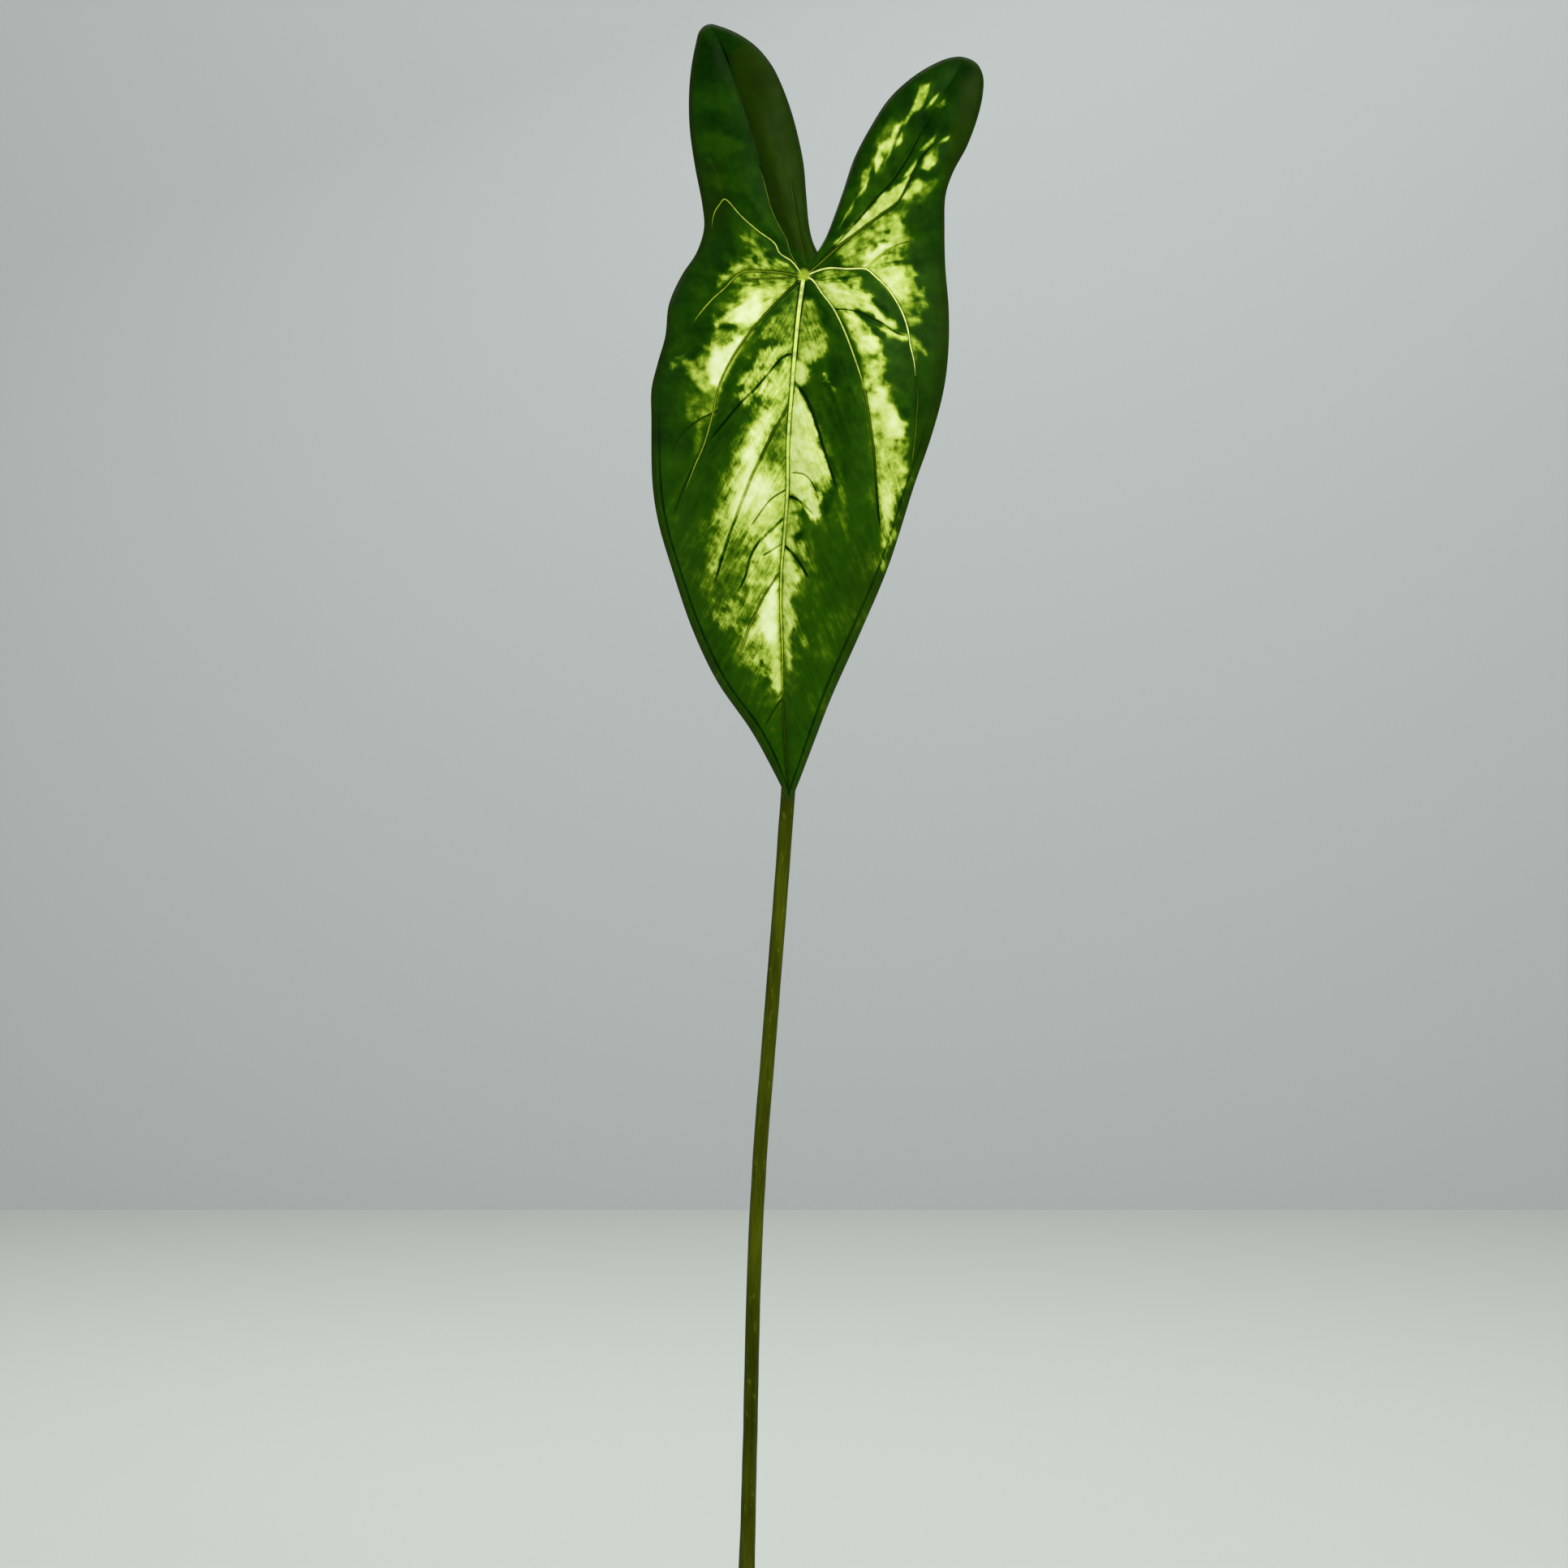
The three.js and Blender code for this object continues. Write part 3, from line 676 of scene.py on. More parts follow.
        (-36, -100), (-39.5, -110), (-40.5, -120), (-40.5, -131), (-38, -131), (-34, -117), (-31, -108),
        (-22, -109), (-9, -110), (-7.4, -90), (-7, -70),
    ]),
    (0.95, 3.0, 1.0, [
        (-12, -55), (-16, -57), (-22, -66), (-26, -75), (-29, -84), (-32, -94), (-30, -101), (-24, -100),
        (-14, -97), (-15, -88), (-20, -81), (-17, -68),
    ]),
    (0.22, 1.4, 2.0, [(-8, -58), (-12, -63), (-16, -71), (-19, -77), (-14, -79.5), (-9, -79), (-8.2, -68)]),
    (0.5, 1.0, 1.2, [(-9, -66), (-12, -66), (-13, -72), (-10, -74)]),
    (0.72, 1.5, 2.0, [
        (-9, -103), (-16, -104), (-24, -107), (-20.5, -113), (-24, -120), (-26, -130), (-24, -134),
        (-18, -132), (-11, -126), (-10, -115),
    ]),
    (0.95, 1.6, 1.5, [(-10.5, -112), (-17, -112), (-14, -118), (-11, -120)]),
    (0.45, 1.2, 1.6, [(-14, -120), (-18, -123), (-20, -128), (-17, -129), (-13, -124)]),
    (0.26, 1.2, 1.6, [
        (-22, -112), (-30, -114), (-33, -120), (-38, -130), (-33, -136), (-26, -132), (-24, -122),
    ]),
    (0.6, 1.0, 1.2, [(-20, -110), (-25, -112), (-25, -119), (-21, -120)]),
    (0.55, 0.9, 1.2, [(-23, -119), (-27, -119), (-28, -121), (-24, -122)]),
    (0.46, 1.0, 2.4, [
        (-24, -132), (-20, -133), (-18.5, -138), (-21, -146), (-27, -149), (-34, -149), (-39, -145),
        (-38, -140), (-32, -138), (-27, -139),
    ]),
    (0.64, 1.2, 1.2, [(-17, -131), (-24, -132), (-26, -135), (-20, -138)]),
    (0.14, 0.8, 1.4, [(-24, -145), (-28, -146), (-28, -148), (-24, -149)]),
    (0.1, 0.7, 1.4, [(-35, -140.5), (-37, -141.5), (-35, -143), (-33, -142)]),
    (0.5, 0.6, 0.8, [(-30, -149), (-27, -151), (-24.5, -150.5), (-25, -153), (-29, -152)]),
    (0.7, 0.8, 1.0, [(-20, -142), (-22.5, -147), (-26, -154), (-27.5, -160), (-25.5, -160), (-23, -154)]),
    (0.35, 1.0, 2.0, [(-26, -158), (-20, -160), (-17, -169), (-21, -169), (-25, -166)]),
    (0.75, 1.2, 1.8, [
        (-11, -126), (-15, -133.5), (-19, -140.5), (-22, -148), (-24.5, -155), (-20, -161), (-17, -168),
        (-14.5, -169), (-13.5, -177), (-10.5, -180.5), (-9.5, -176), (-10.2, -160), (-10.9, -140),
    ]),
    (1.0, 1.6, 1.2, [(-11.5, -129), (-16, -137), (-20, -146), (-21, -153), (-16, -157), (-12, -156)]),
    (0.62, 1.0, 1.4, [(-18, -152), (-24, -156), (-22, -164), (-17, -171), (-13, -172), (-15, -160)]),
    (0.0, 0.6, 0.8, [(-14.8, -168.5), (-17, -169), (-16, -171)]),
    # Left half, around its two upper veins.
    (0.5, 1.2, 1.8, [
        (-3, 4), (-10, 5.6), (-27, 5.4), (-32, 2.5), (-37, -1.5), (-37, 3), (-33, 6.5), (-27, 9),
        (-24, 14), (-25, 20), (-22, 22.5), (-18, 17), (-15, 13.5), (-17, 11), (-11, 9.5), (-6, 6.5),
    ]),
    (0.75, 1.0, 1.2, [(-20, 8), (-24, 8.5), (-31, 6.5), (-29, 5.5)]),
    (0.68, 0.9, 1.2, [(-7, 7.5), (-14, 9), (-18, 9), (-13, 7.2)]),
    (0.6, 0.9, 1.2, [(-20, 20), (-23, 20), (-24, 17), (-21, 16)]),
    (0.52, 1.0, 1.2, [(-4, 2), (-10, 3.8), (-20, 4.6), (-27, 4), (-31, 0.5), (-28, -1), (-10, -1)]),
    (0.3, 0.8, 1.4, [(-11, 2), (-17, 2.4), (-24, 1.6), (-22, 0.2), (-13, 0.4)]),
    (0.6, 1.4, 1.8, [
        (-4, 0.5), (-10, 0.8), (-22, 0), (-28, -0.5), (-29, -4), (-31, -8), (-34, -12), (-39, -19.5),
        (-33, -19.5), (-23, -20.5), (-18.5, -15.6), (-13, -9.8), (-7, -4.6), (-3, -1),
    ]),
    (0.2, 1.0, 1.8, [(-27, -1.5), (-31, -3), (-39, -6), (-39, -13), (-34, -10.5), (-29, -6.5)]),
    (0.78, 1.2, 1.6, [
        (-13, -3.5), (-24, -4), (-28, -11), (-38, -15.5), (-37, -18.5), (-29, -18.5), (-20.5, -18),
        (-15, -11.5),
    ]),
    (1.0, 1.6, 1.2, [(-18, -8), (-23, -7.5), (-29, -13), (-30, -17), (-20, -17)]),
    (0.46, 1.0, 0.8, [(-38, -20.5), (-30, -20.5), (-22, -20), (-24, -22), (-33, -26.5), (-38, -24)]),
    (0.62, 2.0, 1.8, [
        (-25, -22), (-33, -26), (-43, -29.5), (-50, -35), (-51, -40), (-46, -46), (-43, -56), (-39.3, -57),
        (-37, -48), (-34.5, -41), (-30.5, -32.5),
    ]),
    (1.0, 1.4, 1.0, [
        (-22.8, -21), (-27, -22.8), (-34, -27), (-40, -31), (-42, -37), (-40, -44), (-36.5, -46.5),
        (-34.2, -40.5),
        (-30.3, -32), (-26, -26),
    ]),
    (0.33, 1.4, 1.5, [(-38, -46), (-45, -47), (-50, -44), (-50, -55), (-44, -62), (-40, -60)]),
    (0.5, 0.8, 0.8, [(-55, -34.5), (-58, -34.5), (-58, -37), (-55, -36.8)]),
    (0.55, 0.4, 0.4, [(-51, -28.5), (-52.4, -31), (-56.5, -32.6), (-54, -32.8), (-51.5, -31.6)]),
    (0.34, 1.2, 1.2, [(-44.5, -62), (-48, -68), (-49, -77), (-46, -74), (-43.8, -68)]),
    (0.15, 1.5, 0.5, [(-48, 64), (-36, 65), (-24, 60), (-28, 56), (-47, 56)]),
    (0.13, 1.5, 0.5, [(-48, 83), (-38, 82), (-29, 77), (-31, 74), (-48, 76)]),
    (0.14, 1.5, 0.5, [(-45, 48), (-33, 47), (-22, 42), (-24, 38), (-42, 42)]),
    (0.02, 1.5, 0.5, [
        (-29, 90), (-27, 90), (-22, 73), (-16, 55), (-8, 30), (-4, 16), (-14, 32), (-22, 57), (-27, 74),
    ]),
    (0.2, 2.0, 1.5, [(-29, 40), (-31, 42), (-31, 38)]),
    (0.22, 1.5, 1.5, [(-40, 54), (-42, 53), (-38, 46), (-36, 42)]),
]


VEIN_DROP = 1.8  # how steeply a side vein falls away from the midrib
FAN_RADIUS = 30.0  # the veins that spread from the navel are spaced as if on this radius
STREAK = 2.8  # how many times longer than wide a streak is
WANDER = 0.9  # how far the patches' outlines wander, in millimetres
CALM_REACH = 4.5  # how near a large vein the edges calm down, in millimetres
SOFTEST = 0.3  # added to each patch's softness
DARK_TONE = 0.11
SPECK_DEPTH = 0.34  # how much darker the green specks in the pale areas are
GLOW = 0.3
GLOW_REACH = 4.0  # how far a patch lightens the green around it, in millimetres


def flow_coordinates(points):
    """Where each point lies across and along the fine side veins, so that streaks follow them."""
    midrib = evenly(smooth_curve(SKELETON_MIDRIB), 60)
    centre = np.interp(-points[:, 1], -midrib[:, 1], midrib[:, 0])
    out = np.abs(points[:, 0] - centre)
    start = points[:, 1] + VEIN_DROP * out
    angle = np.arctan2(points[:, 1], out) + math.atan(VEIN_DROP)
    across = np.where(start < 0, start, angle * FAN_RADIUS)
    run = np.where(start < 0, out * math.hypot(1.0, VEIN_DROP), np.hypot(out, points[:, 1]))
    return np.stack([across, run, 300.0 * (points[:, 0] > centre)], axis=1)


def inside_distance(polygon, points):
    """Distance from each point to an outline: positive inside it, negative outside."""
    corners = np.array(polygon, float)
    distance = np.full(len(points), np.inf)
    crossings = np.zeros(len(points), int)
    x, z = points.T
    for a, b in zip(corners, np.roll(corners, -1, axis=0)):
        run = b - a
        offset = points - a
        t = np.clip(offset @ run / (run @ run), 0.0, 1.0)
        distance = np.minimum(distance, np.linalg.norm(offset - t[:, None] * run, axis=1))
        spans = (a[1] > z) != (b[1] > z)
        rise = np.where(spans, b[1] - a[1], 1.0)
        crossings += spans & (x < a[0] + (z - a[1]) * (b[0] - a[0]) / rise)
    return np.where(crossings % 2 == 1, distance, -distance)


def variegation(points, vein_reach):
    """Tone of the leaf's skin at each point, from 0 for dark green to 1 for cream white.

    Patches that end on a large vein have a clean edge there.
    """
    calm = smoothstep(vein_reach, 0.5, CALM_REACH)
    flow = flow_coordinates(points)
    streaks = flow * np.array([1.0, 1.0 / STREAK, 1.0])
    spread = smoothstep(flow[:, 1], 6.0, 24.0)
    comb = (ripple(streaks, 3.4) + 0.6 * ripple(streaks, 1.7, 3.1)) * spread
    blotch = ripple(points, 5.0, 5.2) + 0.6 * ripple(points, 2.4, 1.3)
    wander = np.stack([ripple(points, 7.0, 3.3), ripple(points, 7.0, 7.7)], axis=1)
    moved = points + WANDER * calm[:, None] * wander
    ragged_edge = calm * (comb + 0.9 * blotch + 0.35 * ripple(points, 1.3, 4.4))
    clouds = ripple(points, 13.0, 8.4) + 0.9 * ripple(streaks, 4.0, 6.6) * spread
    lower = smoothstep(-points[:, 1], 30.0, 130.0) - 0.6 * smoothstep(points[:, 1], 30.0, 90.0)
    tone = DARK_TONE + 0.09 * lower + 0.06 * clouds + 0.025 * blotch
    glow = np.zeros(len(points))
    for value, softness, raggedness, outline in PATCHES:
        near = inside_distance(outline, moved) + raggedness * ragged_edge
        soft = SOFTEST + softness
        share = smoothstep(near, -soft, soft)
        tone = tone + (value - tone) * share
        if value > 0.3:
            glow = np.maximum(glow, np.exp(np.minimum(near, 0.0) / GLOW_REACH) * (value - 0.1))
    pale = smoothstep(tone, 0.2, 0.6)
    tone = tone + pale * (0.13 * blotch + 0.1 * comb - 0.05)
    thick = smoothstep(ripple(points, 11.0, 2.2), -0.2, 0.5)
    speck = smoothstep(ripple(points, 2.6, 7.3) + 0.5 * ripple(streaks, 1.4, 9.9) * spread, 0.15, 0.7)
    tone = tone - SPECK_DEPTH * pale * thick * speck * (1.0 - 0.7 * smoothstep(tone, 0.75, 1.0))
    halo = GLOW * glow * smoothstep(ragged_edge, -1.2, 1.2)
    return np.clip(tone + halo * (1.0 - pale), 0.0, 1.0)


# ---- Leaf blade: mesh and materials -------------------------------------------------------------


QUILT_DEPTH = 0.9  # how far the skin swells forward between the veins
QUILT_REACH = 6.0  # how far from a vein the swell grows
GROOVE_DEPTH = 0.3  # of a vein, in front
PLEAT_DEPTH = 0.12  # of the fine side veins
SWAY_DEPTH = 1.3  # of each half's broad unevenness
EDGE_WAVE_DEPTH = 1.0
FLAT_EDGE = 14.0  # how wide the band is in which quilt and pleats fade out towards the margin


def blade_relief(points, depth, to_margin, share, reach, width):
    """The fine shape of the skin on top of the blade's broad shape, in millimetres."""
    inward = smoothstep(to_margin, 0.0, FLAT_EDGE)
    quilt = -QUILT_DEPTH * (1.0 - np.exp(-((reach / QUILT_REACH) ** 2))) * inward
    groove = GROOVE_DEPTH * np.exp(-((reach / (width + 0.6)) ** 2))
    flow = flow_coordinates(points) * np.array([1.0, 0.12, 1.0])
    pleat = PLEAT_DEPTH * ripple(flow, 4.5, 2.0) * inward
    sway = SWAY_DEPTH * ripple(points, 36.0, 6.0) * smoothstep(share, 0.1, 0.6)
    edge_wave = EDGE_WAVE_DEPTH * ripple(points, 17.0, 9.0) * share**2 * smoothstep(to_margin, 40.0, 0.0)
    roll = MARGIN_ROLL * np.clip(1.0 - to_margin / MARGIN_ROLL_WIDTH, 0.0, 1.0) ** 2
    return depth + quilt + groove + pleat + sway + edge_wave + roll


def join_strips(strips):
    """One set of points from all the strips, with shared ones merged, and the faces between them."""
    index, columns = {}, {"plane": [], "depth": [], "to_margin": [], "share": []}
    faces, rims = [], []
    for strip in strips:
        shape = strip["depth"].shape
        ids = np.empty(shape, int)
        for place in np.ndindex(shape):
            x, z = strip["plane"][place]
            key = (round(x, 4), round(z, 4))
            if key not in index:
                index[key] = len(index)
                for name, values in columns.items():
                    values.append(strip[name][place])
            ids[place] = index[key]
        turn = strip["side"]
        for i in range(shape[0] - 1):
            for j in range(shape[1] - 1):
                faces.append([ids[i, j], ids[i + 1, j], ids[i + 1, j + 1], ids[i, j + 1]][::turn])
            rims.append([ids[i, -1], ids[i + 1, -1]][::turn])
    return {name: np.array(values) for name, values in columns.items()}, faces, rims


def drawn_place(points, depth):
    """Where each point of the skin lies in the flat plane that the veins and patches are drawn in.

    They are drawn as they look from the front, so each point follows its line to the viewer.
    """
    navel = NAVEL[[0, 2]]
    viewer = np.array([VIEW_CENTRE.x, VIEW_CENTRE.z]) / MM
    distance = VIEW_DISTANCE / MM
    scale = distance / (distance + NAVEL[1] + depth)
    return viewer + (points + navel - viewer) * scale[:, None] - navel


def add_blade():
    skin, faces, rims = join_strips(blade_strips())
    points = skin["plane"]
    drawn = drawn_place(points, skin["depth"])
    veins = vein_fields(drawn)
    gaps = np.stack([field["reach"] - field["width"] for field in veins.values()])
    nearest = np.argmin(gaps, axis=0)
    reach, width = (
        np.choose(nearest, [field[key] for field in veins.values()]) for key in ("reach", "width")
    )
    depth = blade_relief(points, skin["depth"], skin["to_margin"], skin["share"], reach, width)
    rib = RIB_HEIGHT * np.exp(-((reach / (1.4 * width + 0.2)) ** 2)) * smoothstep(width, 0.2, 0.6)
    half = 0.5 * BLADE_THICKNESS
    front = np.stack([points[:, 0], depth - half, points[:, 1]], axis=1) + NAVEL
    back = np.stack([points[:, 0], depth + half + rib, points[:, 1]], axis=1) + NAVEL
    count = len(points)
    quads = [*faces, *([count + v for v in face[::-1]] for face in faces)]
    quads += [[b, a, count + a, count + b] for a, b in rims]
    materials = leaf_front_material(), leaf_back_material()
    blade = mesh_object("taro_leaf_blade", np.vstack([front, back]) * MM, quads, *materials)
    mesh = blade.data
    which = np.zeros(len(quads), np.int32)
    which[len(faces):] = 1
    mesh.polygons.foreach_set("material_index", which)
    large = np.minimum(veins["fan"]["reach"], veins["main"]["reach"])
    # The painted olive shading is carried to the shader as an attribute, beside the tone and the margin
    # distance.
    fields = {"tone": variegation(drawn, large), "painted_olive_shading": painted_olive_shading(drawn), "margin": skin["to_margin"]}
    for name, field in veins.items():
        fields["vein_" + name] = np.stack([field["side"], field["reach"], field["width"]], axis=1)
        fields["pale_" + name] = field["pale"]
    fields["flow"] = flow_coordinates(drawn)
    for name, values in fields.items():
        set_attribute(mesh, name, np.concatenate([values, values]))
    add_blade_uv(mesh, points)
    return blade


def add_blade_uv(mesh, points):
    """A flat map of the blade, with the back beside the front; the front's vertices come first."""
    low, high = points.min(axis=0), points.max(axis=0)
    size = 2.0 * max((high - low)[0] + 4.0, 0.5 * (high - low)[1] + 4.0)
    flat = (points - low + 2.0) / size
    flat = np.vstack([flat, flat + np.array([0.5, 0.0])])
    corners = np.empty(len(mesh.loops), np.int32)
    mesh.loops.foreach_get("vertex_index", corners)
    uv = flat[corners]
    starts = np.empty(len(mesh.polygons), np.int32)
    totals = np.empty(len(mesh.polygons), np.int32)
    mesh.polygons.foreach_get("loop_start", starts)
    mesh.polygons.foreach_get("loop_total", totals)
    face_of = np.repeat(np.arange(len(starts)), totals)
    is_back = corners >= len(points)
    mixed = np.zeros(len(starts), bool)
    np.logical_or.at(mixed, face_of, is_back)
    uv[mixed[face_of] & ~is_back, 0] += 0.5
    layer = mesh.uv_layers.new(name="OFBake")
    layer.data.foreach_set("uv", uv.astype(np.float32).ravel())


LEAF_STOPS = [
    (0.0, srgb(1, 29, 0)),
    (0.1, srgb(15, 52, 0)),
    (0.22, srgb(37, 77, 1)),
    (0.34, srgb(88, 120, 10)),
    (0.47, srgb(140, 166, 42)),
    (0.61, srgb(180, 200, 88)),
    (0.79, srgb(208, 221, 138)),
    (1.0, srgb(232, 240, 196)),
]
VEIN_STOPS = [
    (0.0, srgb(48, 74, 3)),
    (0.3, srgb(92, 114, 12)),
    (0.65, srgb(172, 196, 44)),
    (1.0, srgb(230, 243, 140)),
]

VEIN_SHADE = 0.36  # how much darker the painted shade makes the skin beside a vein and in the margin's crease; over the cream it also gives the veins their green edges
CREASE = 3.9  # from the margin to the crease inside its roll

# Where the green is painted olive as shading, on the left lobe's fold and along the margins: how strongly,
# how softly in millimetres, and the outline.
PAINTED_OLIVE_SHADING = [
    (0.65, 2.0, [
        (-20, 112), (-31, 99), (-30, 86), (-25, 73), (-20, 57), (-12, 30), (-5, 16), (6, 10), (4, 60),
        (-6, 90),
    ]),
    (0.35, 5.0, [(-52, 60), (-52, 30), (-44, 16), (-30, 28), (-34, 50)]),
    (0.6, 4.0, [(82, 95), (68, 88), (66, 70), (60, 50), (62, 30), (70, 40)]),
    (0.5, 5.0, [(70, 20), (57, 10), (56, -40), (44, -90), (22, -150), (40, -150), (66, -60)]),
    (0.4, 6.0, [(36, -118), (22, -112), (14, -170), (2, -215), (20, -180)]),
]


def painted_olive_shading(points):
    """How strongly the painted olive shading tints the green at each point, from 0 to 1."""
    amount = np.zeros(len(points))
    for strength, softness, outline in PAINTED_OLIVE_SHADING:
        near = inside_distance(outline, points) + 1.5 * ripple(points, 9.0, 6.1)
        amount = np.maximum(amount, strength * smoothstep(near, -softness, softness))
    return amount


def leaf_front_material():
    g = Graph("leaf_front")
    tone = g.attribute("tone")
    flow = g.attribute("flow", "Vector")
    streaks = g.noise(g.scaled(flow, (0.42, 0.15, 1.0)), 1.0, 4.0, 0.55)
    blobs = g.noise(g.place(), 330.0, 4.0, 0.55)
    grain = g.noise(g.place(), 700.0, 3.0)
    edge = g.times(g.span(tone, 0.2, 0.42), g.span(tone, 0.95, 0.6))
    rough = g.math("SUBTRACT", g.math("ADD", streaks, blobs), 1.0)
    tone = g.math("MULTIPLY_ADD", rough, g.math("MULTIPLY_ADD", edge, 0.6, 0.09), tone)
    # Each vein has a core and painted groove shade on both sides of it, which over the cream also gives the
    # vein its green edges.
    cores, shade = [], 0.0
    for name in VEINS:
        side, reach, width = g.parts(g.attribute("vein_" + name, "Vector"))
        near = g.math("LESS_THAN", reach, g.math("ADD", width, 1.0))
        ratio = g.math("DIVIDE", g.math("ABSOLUTE", side), width)
        shade = g.math("MAXIMUM", shade, g.times(g.span(ratio, 2.1, 1.0), near))
        cores.append(g.times(g.span(ratio, 1.15, 0.7), near))
    # The margin is rolled back, with a shallow crease inside the roll on the lower half, bumped in and
    # painted darker as shade.
    margin = g.attribute("margin")
    height = g.parts(g.place())[2]
    painted_crease_shade = g.span(g.gap(margin, CREASE), 0.9, 0.2)
    painted_crease_shade = g.times(painted_crease_shade, g.span(height, 0.7, 0.64, 0.0, 0.5))
    shade = g.math("MAXIMUM", shade, painted_crease_shade)
    shade = g.times(shade, g.span(blobs, 0.3, 0.6, 0.55, 1.1))
    tone = g.math("MULTIPLY_ADD", shade, -VEIN_SHADE, tone)
    colour = g.ramp(g.math("ADD", tone, 0.0, clamp=True), LEAF_STOPS)
    # Painted olive shading over the darker greens: a band along the rolled margin, and the fold and margins
    # listed above.
    olive_shading_share = g.math("MAXIMUM", g.span(margin, 4.0, 0.6, 0.0, 0.6), g.attribute("painted_olive_shading"))
    colour = g.mix(g.times(olive_shading_share, g.span(tone, 0.5, 0.12)), colour, srgb(31, 46, 0))
    relief = g.math("MULTIPLY_ADD", shade, -0.7, g.times(grain, 0.25))
    worn = g.span(g.noise(g.place(), 330.0, 3.0, 0.6), 0.36, 0.52, 0.65, 1.0)
    for name, core in zip(VEINS, cores):
        pale = g.attribute("pale_" + name)
        shown = g.times(g.times(core, g.span(pale, 0.0, 0.25)), worn)
        colour = g.mix(shown, colour, g.ramp(pale, VEIN_STOPS))
        relief = g.math("ADD", relief, core)
    knot = g.distance(g.place(), tuple(NAVEL * MM + np.array([0.0, 0.0, 0.0025])))
    colour = g.mix(g.span(knot, 0.0034, 0.0014, 0.0, 0.9), colour, srgb(168, 190, 48))
    g.set(
        Base_Color=colour,
        Roughness=g.span(g.noise(g.place(), 160.0, 3.0), 0.3, 0.7, 0.4, 0.52),
        Specular_IOR_Level=0.06,
        Specular_Tint=(0.6, 1.0, 0.3, 1.0),
        Normal=g.bump(relief, 0.0003, 0.5),
    )
    return g.material


def leaf_back_material():
    g = Graph("leaf_back")
    tone = g.attribute("tone")
    colour = g.ramp(tone, [
        (0.0, srgb(66, 98, 40)),
        (0.3, srgb(100, 128, 54)),
        (0.7, srgb(164, 182, 104)),
        (1.0, srgb(202, 211, 154)),
    ])
    cloud = g.noise(g.place(), 60.0, 4.0, 0.6)
    colour = g.mix(g.span(cloud, 0.35, 0.75, 0.0, 0.3), colour, srgb(112, 136, 74))
    net = g.cells(g.scaled(g.attribute("flow", "Vector"), (0.8, 0.3, 1.0)), 1.0, "DISTANCE_TO_EDGE")
    thread = g.span(net, 0.12, 0.0)
    colour = g.mix(g.times(thread, 0.14), colour, srgb(150, 166, 96))
    height = thread
    for name in VEINS:
        _, reach, width = g.parts(g.attribute("vein_" + name, "Vector"))
        rib = g.span(g.math("SUBTRACT", reach, width), 1.0, 0.1)
        colour = g.mix(g.times(rib, 0.8), colour, srgb(154, 166, 92))
        height = g.math("MAXIMUM", height, rib)
    g.set(
        Base_Color=colour,
        Roughness=g.span(cloud, 0.3, 0.7, 0.5, 0.66),
        Specular_IOR_Level=0.25,
        Normal=g.bump(height, 0.0003, 0.5),
    )
    return g.material


# ---- Leaf stalk ---------------------------------------------------------------------------------

# The stalk's route, as in its CAD solid: how far below the navel, then x and y from the navel. It ends
# in the blade's back.
STALK_ROUTE = [
    (598, -25.5, 6), (571, -25, 6), (512, -23.5, 7), (430, -21.5, 8), (380, -19, 9), (337, -15.6, 10.5),
    (294, -12.2, 12), (250, -8.8, 14), (190, -4.8, 17.5), (120, -2, 20), (60, -0.8, 20), (28, -0.2, 17),
    (10, 0, 10.5), (2.2, 0, 3.4), (0.6, 0, 0.6),
]
STALK_RINGS = 420
STALK_SIDES = 32
STALK_RADIUS = 3.1
STALK_NECK_RADIUS = 2.4
STALK_BASE_RADIUS = 5.6
SHEATH_HEIGHT = 150.0  # the stalk's wrapped base
SHEATH_LIP = 0.75
STALK_FRONT = -0.5 * math.pi  # the direction of the blade's face around the stalk
FLARE_HEIGHT = 22.0
GRAIN_STRETCH = 0.012  # how slowly the stalk's grain changes along it


def stalk_radius(height):
    flare = np.exp(-height / FLARE_HEIGHT) * (STALK_BASE_RADIUS - STALK_RADIUS)
    neck = smoothstep(height, 420.0, 590.0)
    return STALK_RADIUS + (STALK_NECK_RADIUS - STALK_RADIUS) * neck + flare


def angle_gap(a, b):
    """The unsigned angle between two directions."""
    return np.abs((a - b + math.pi) % (2.0 * math.pi) - math.pi)


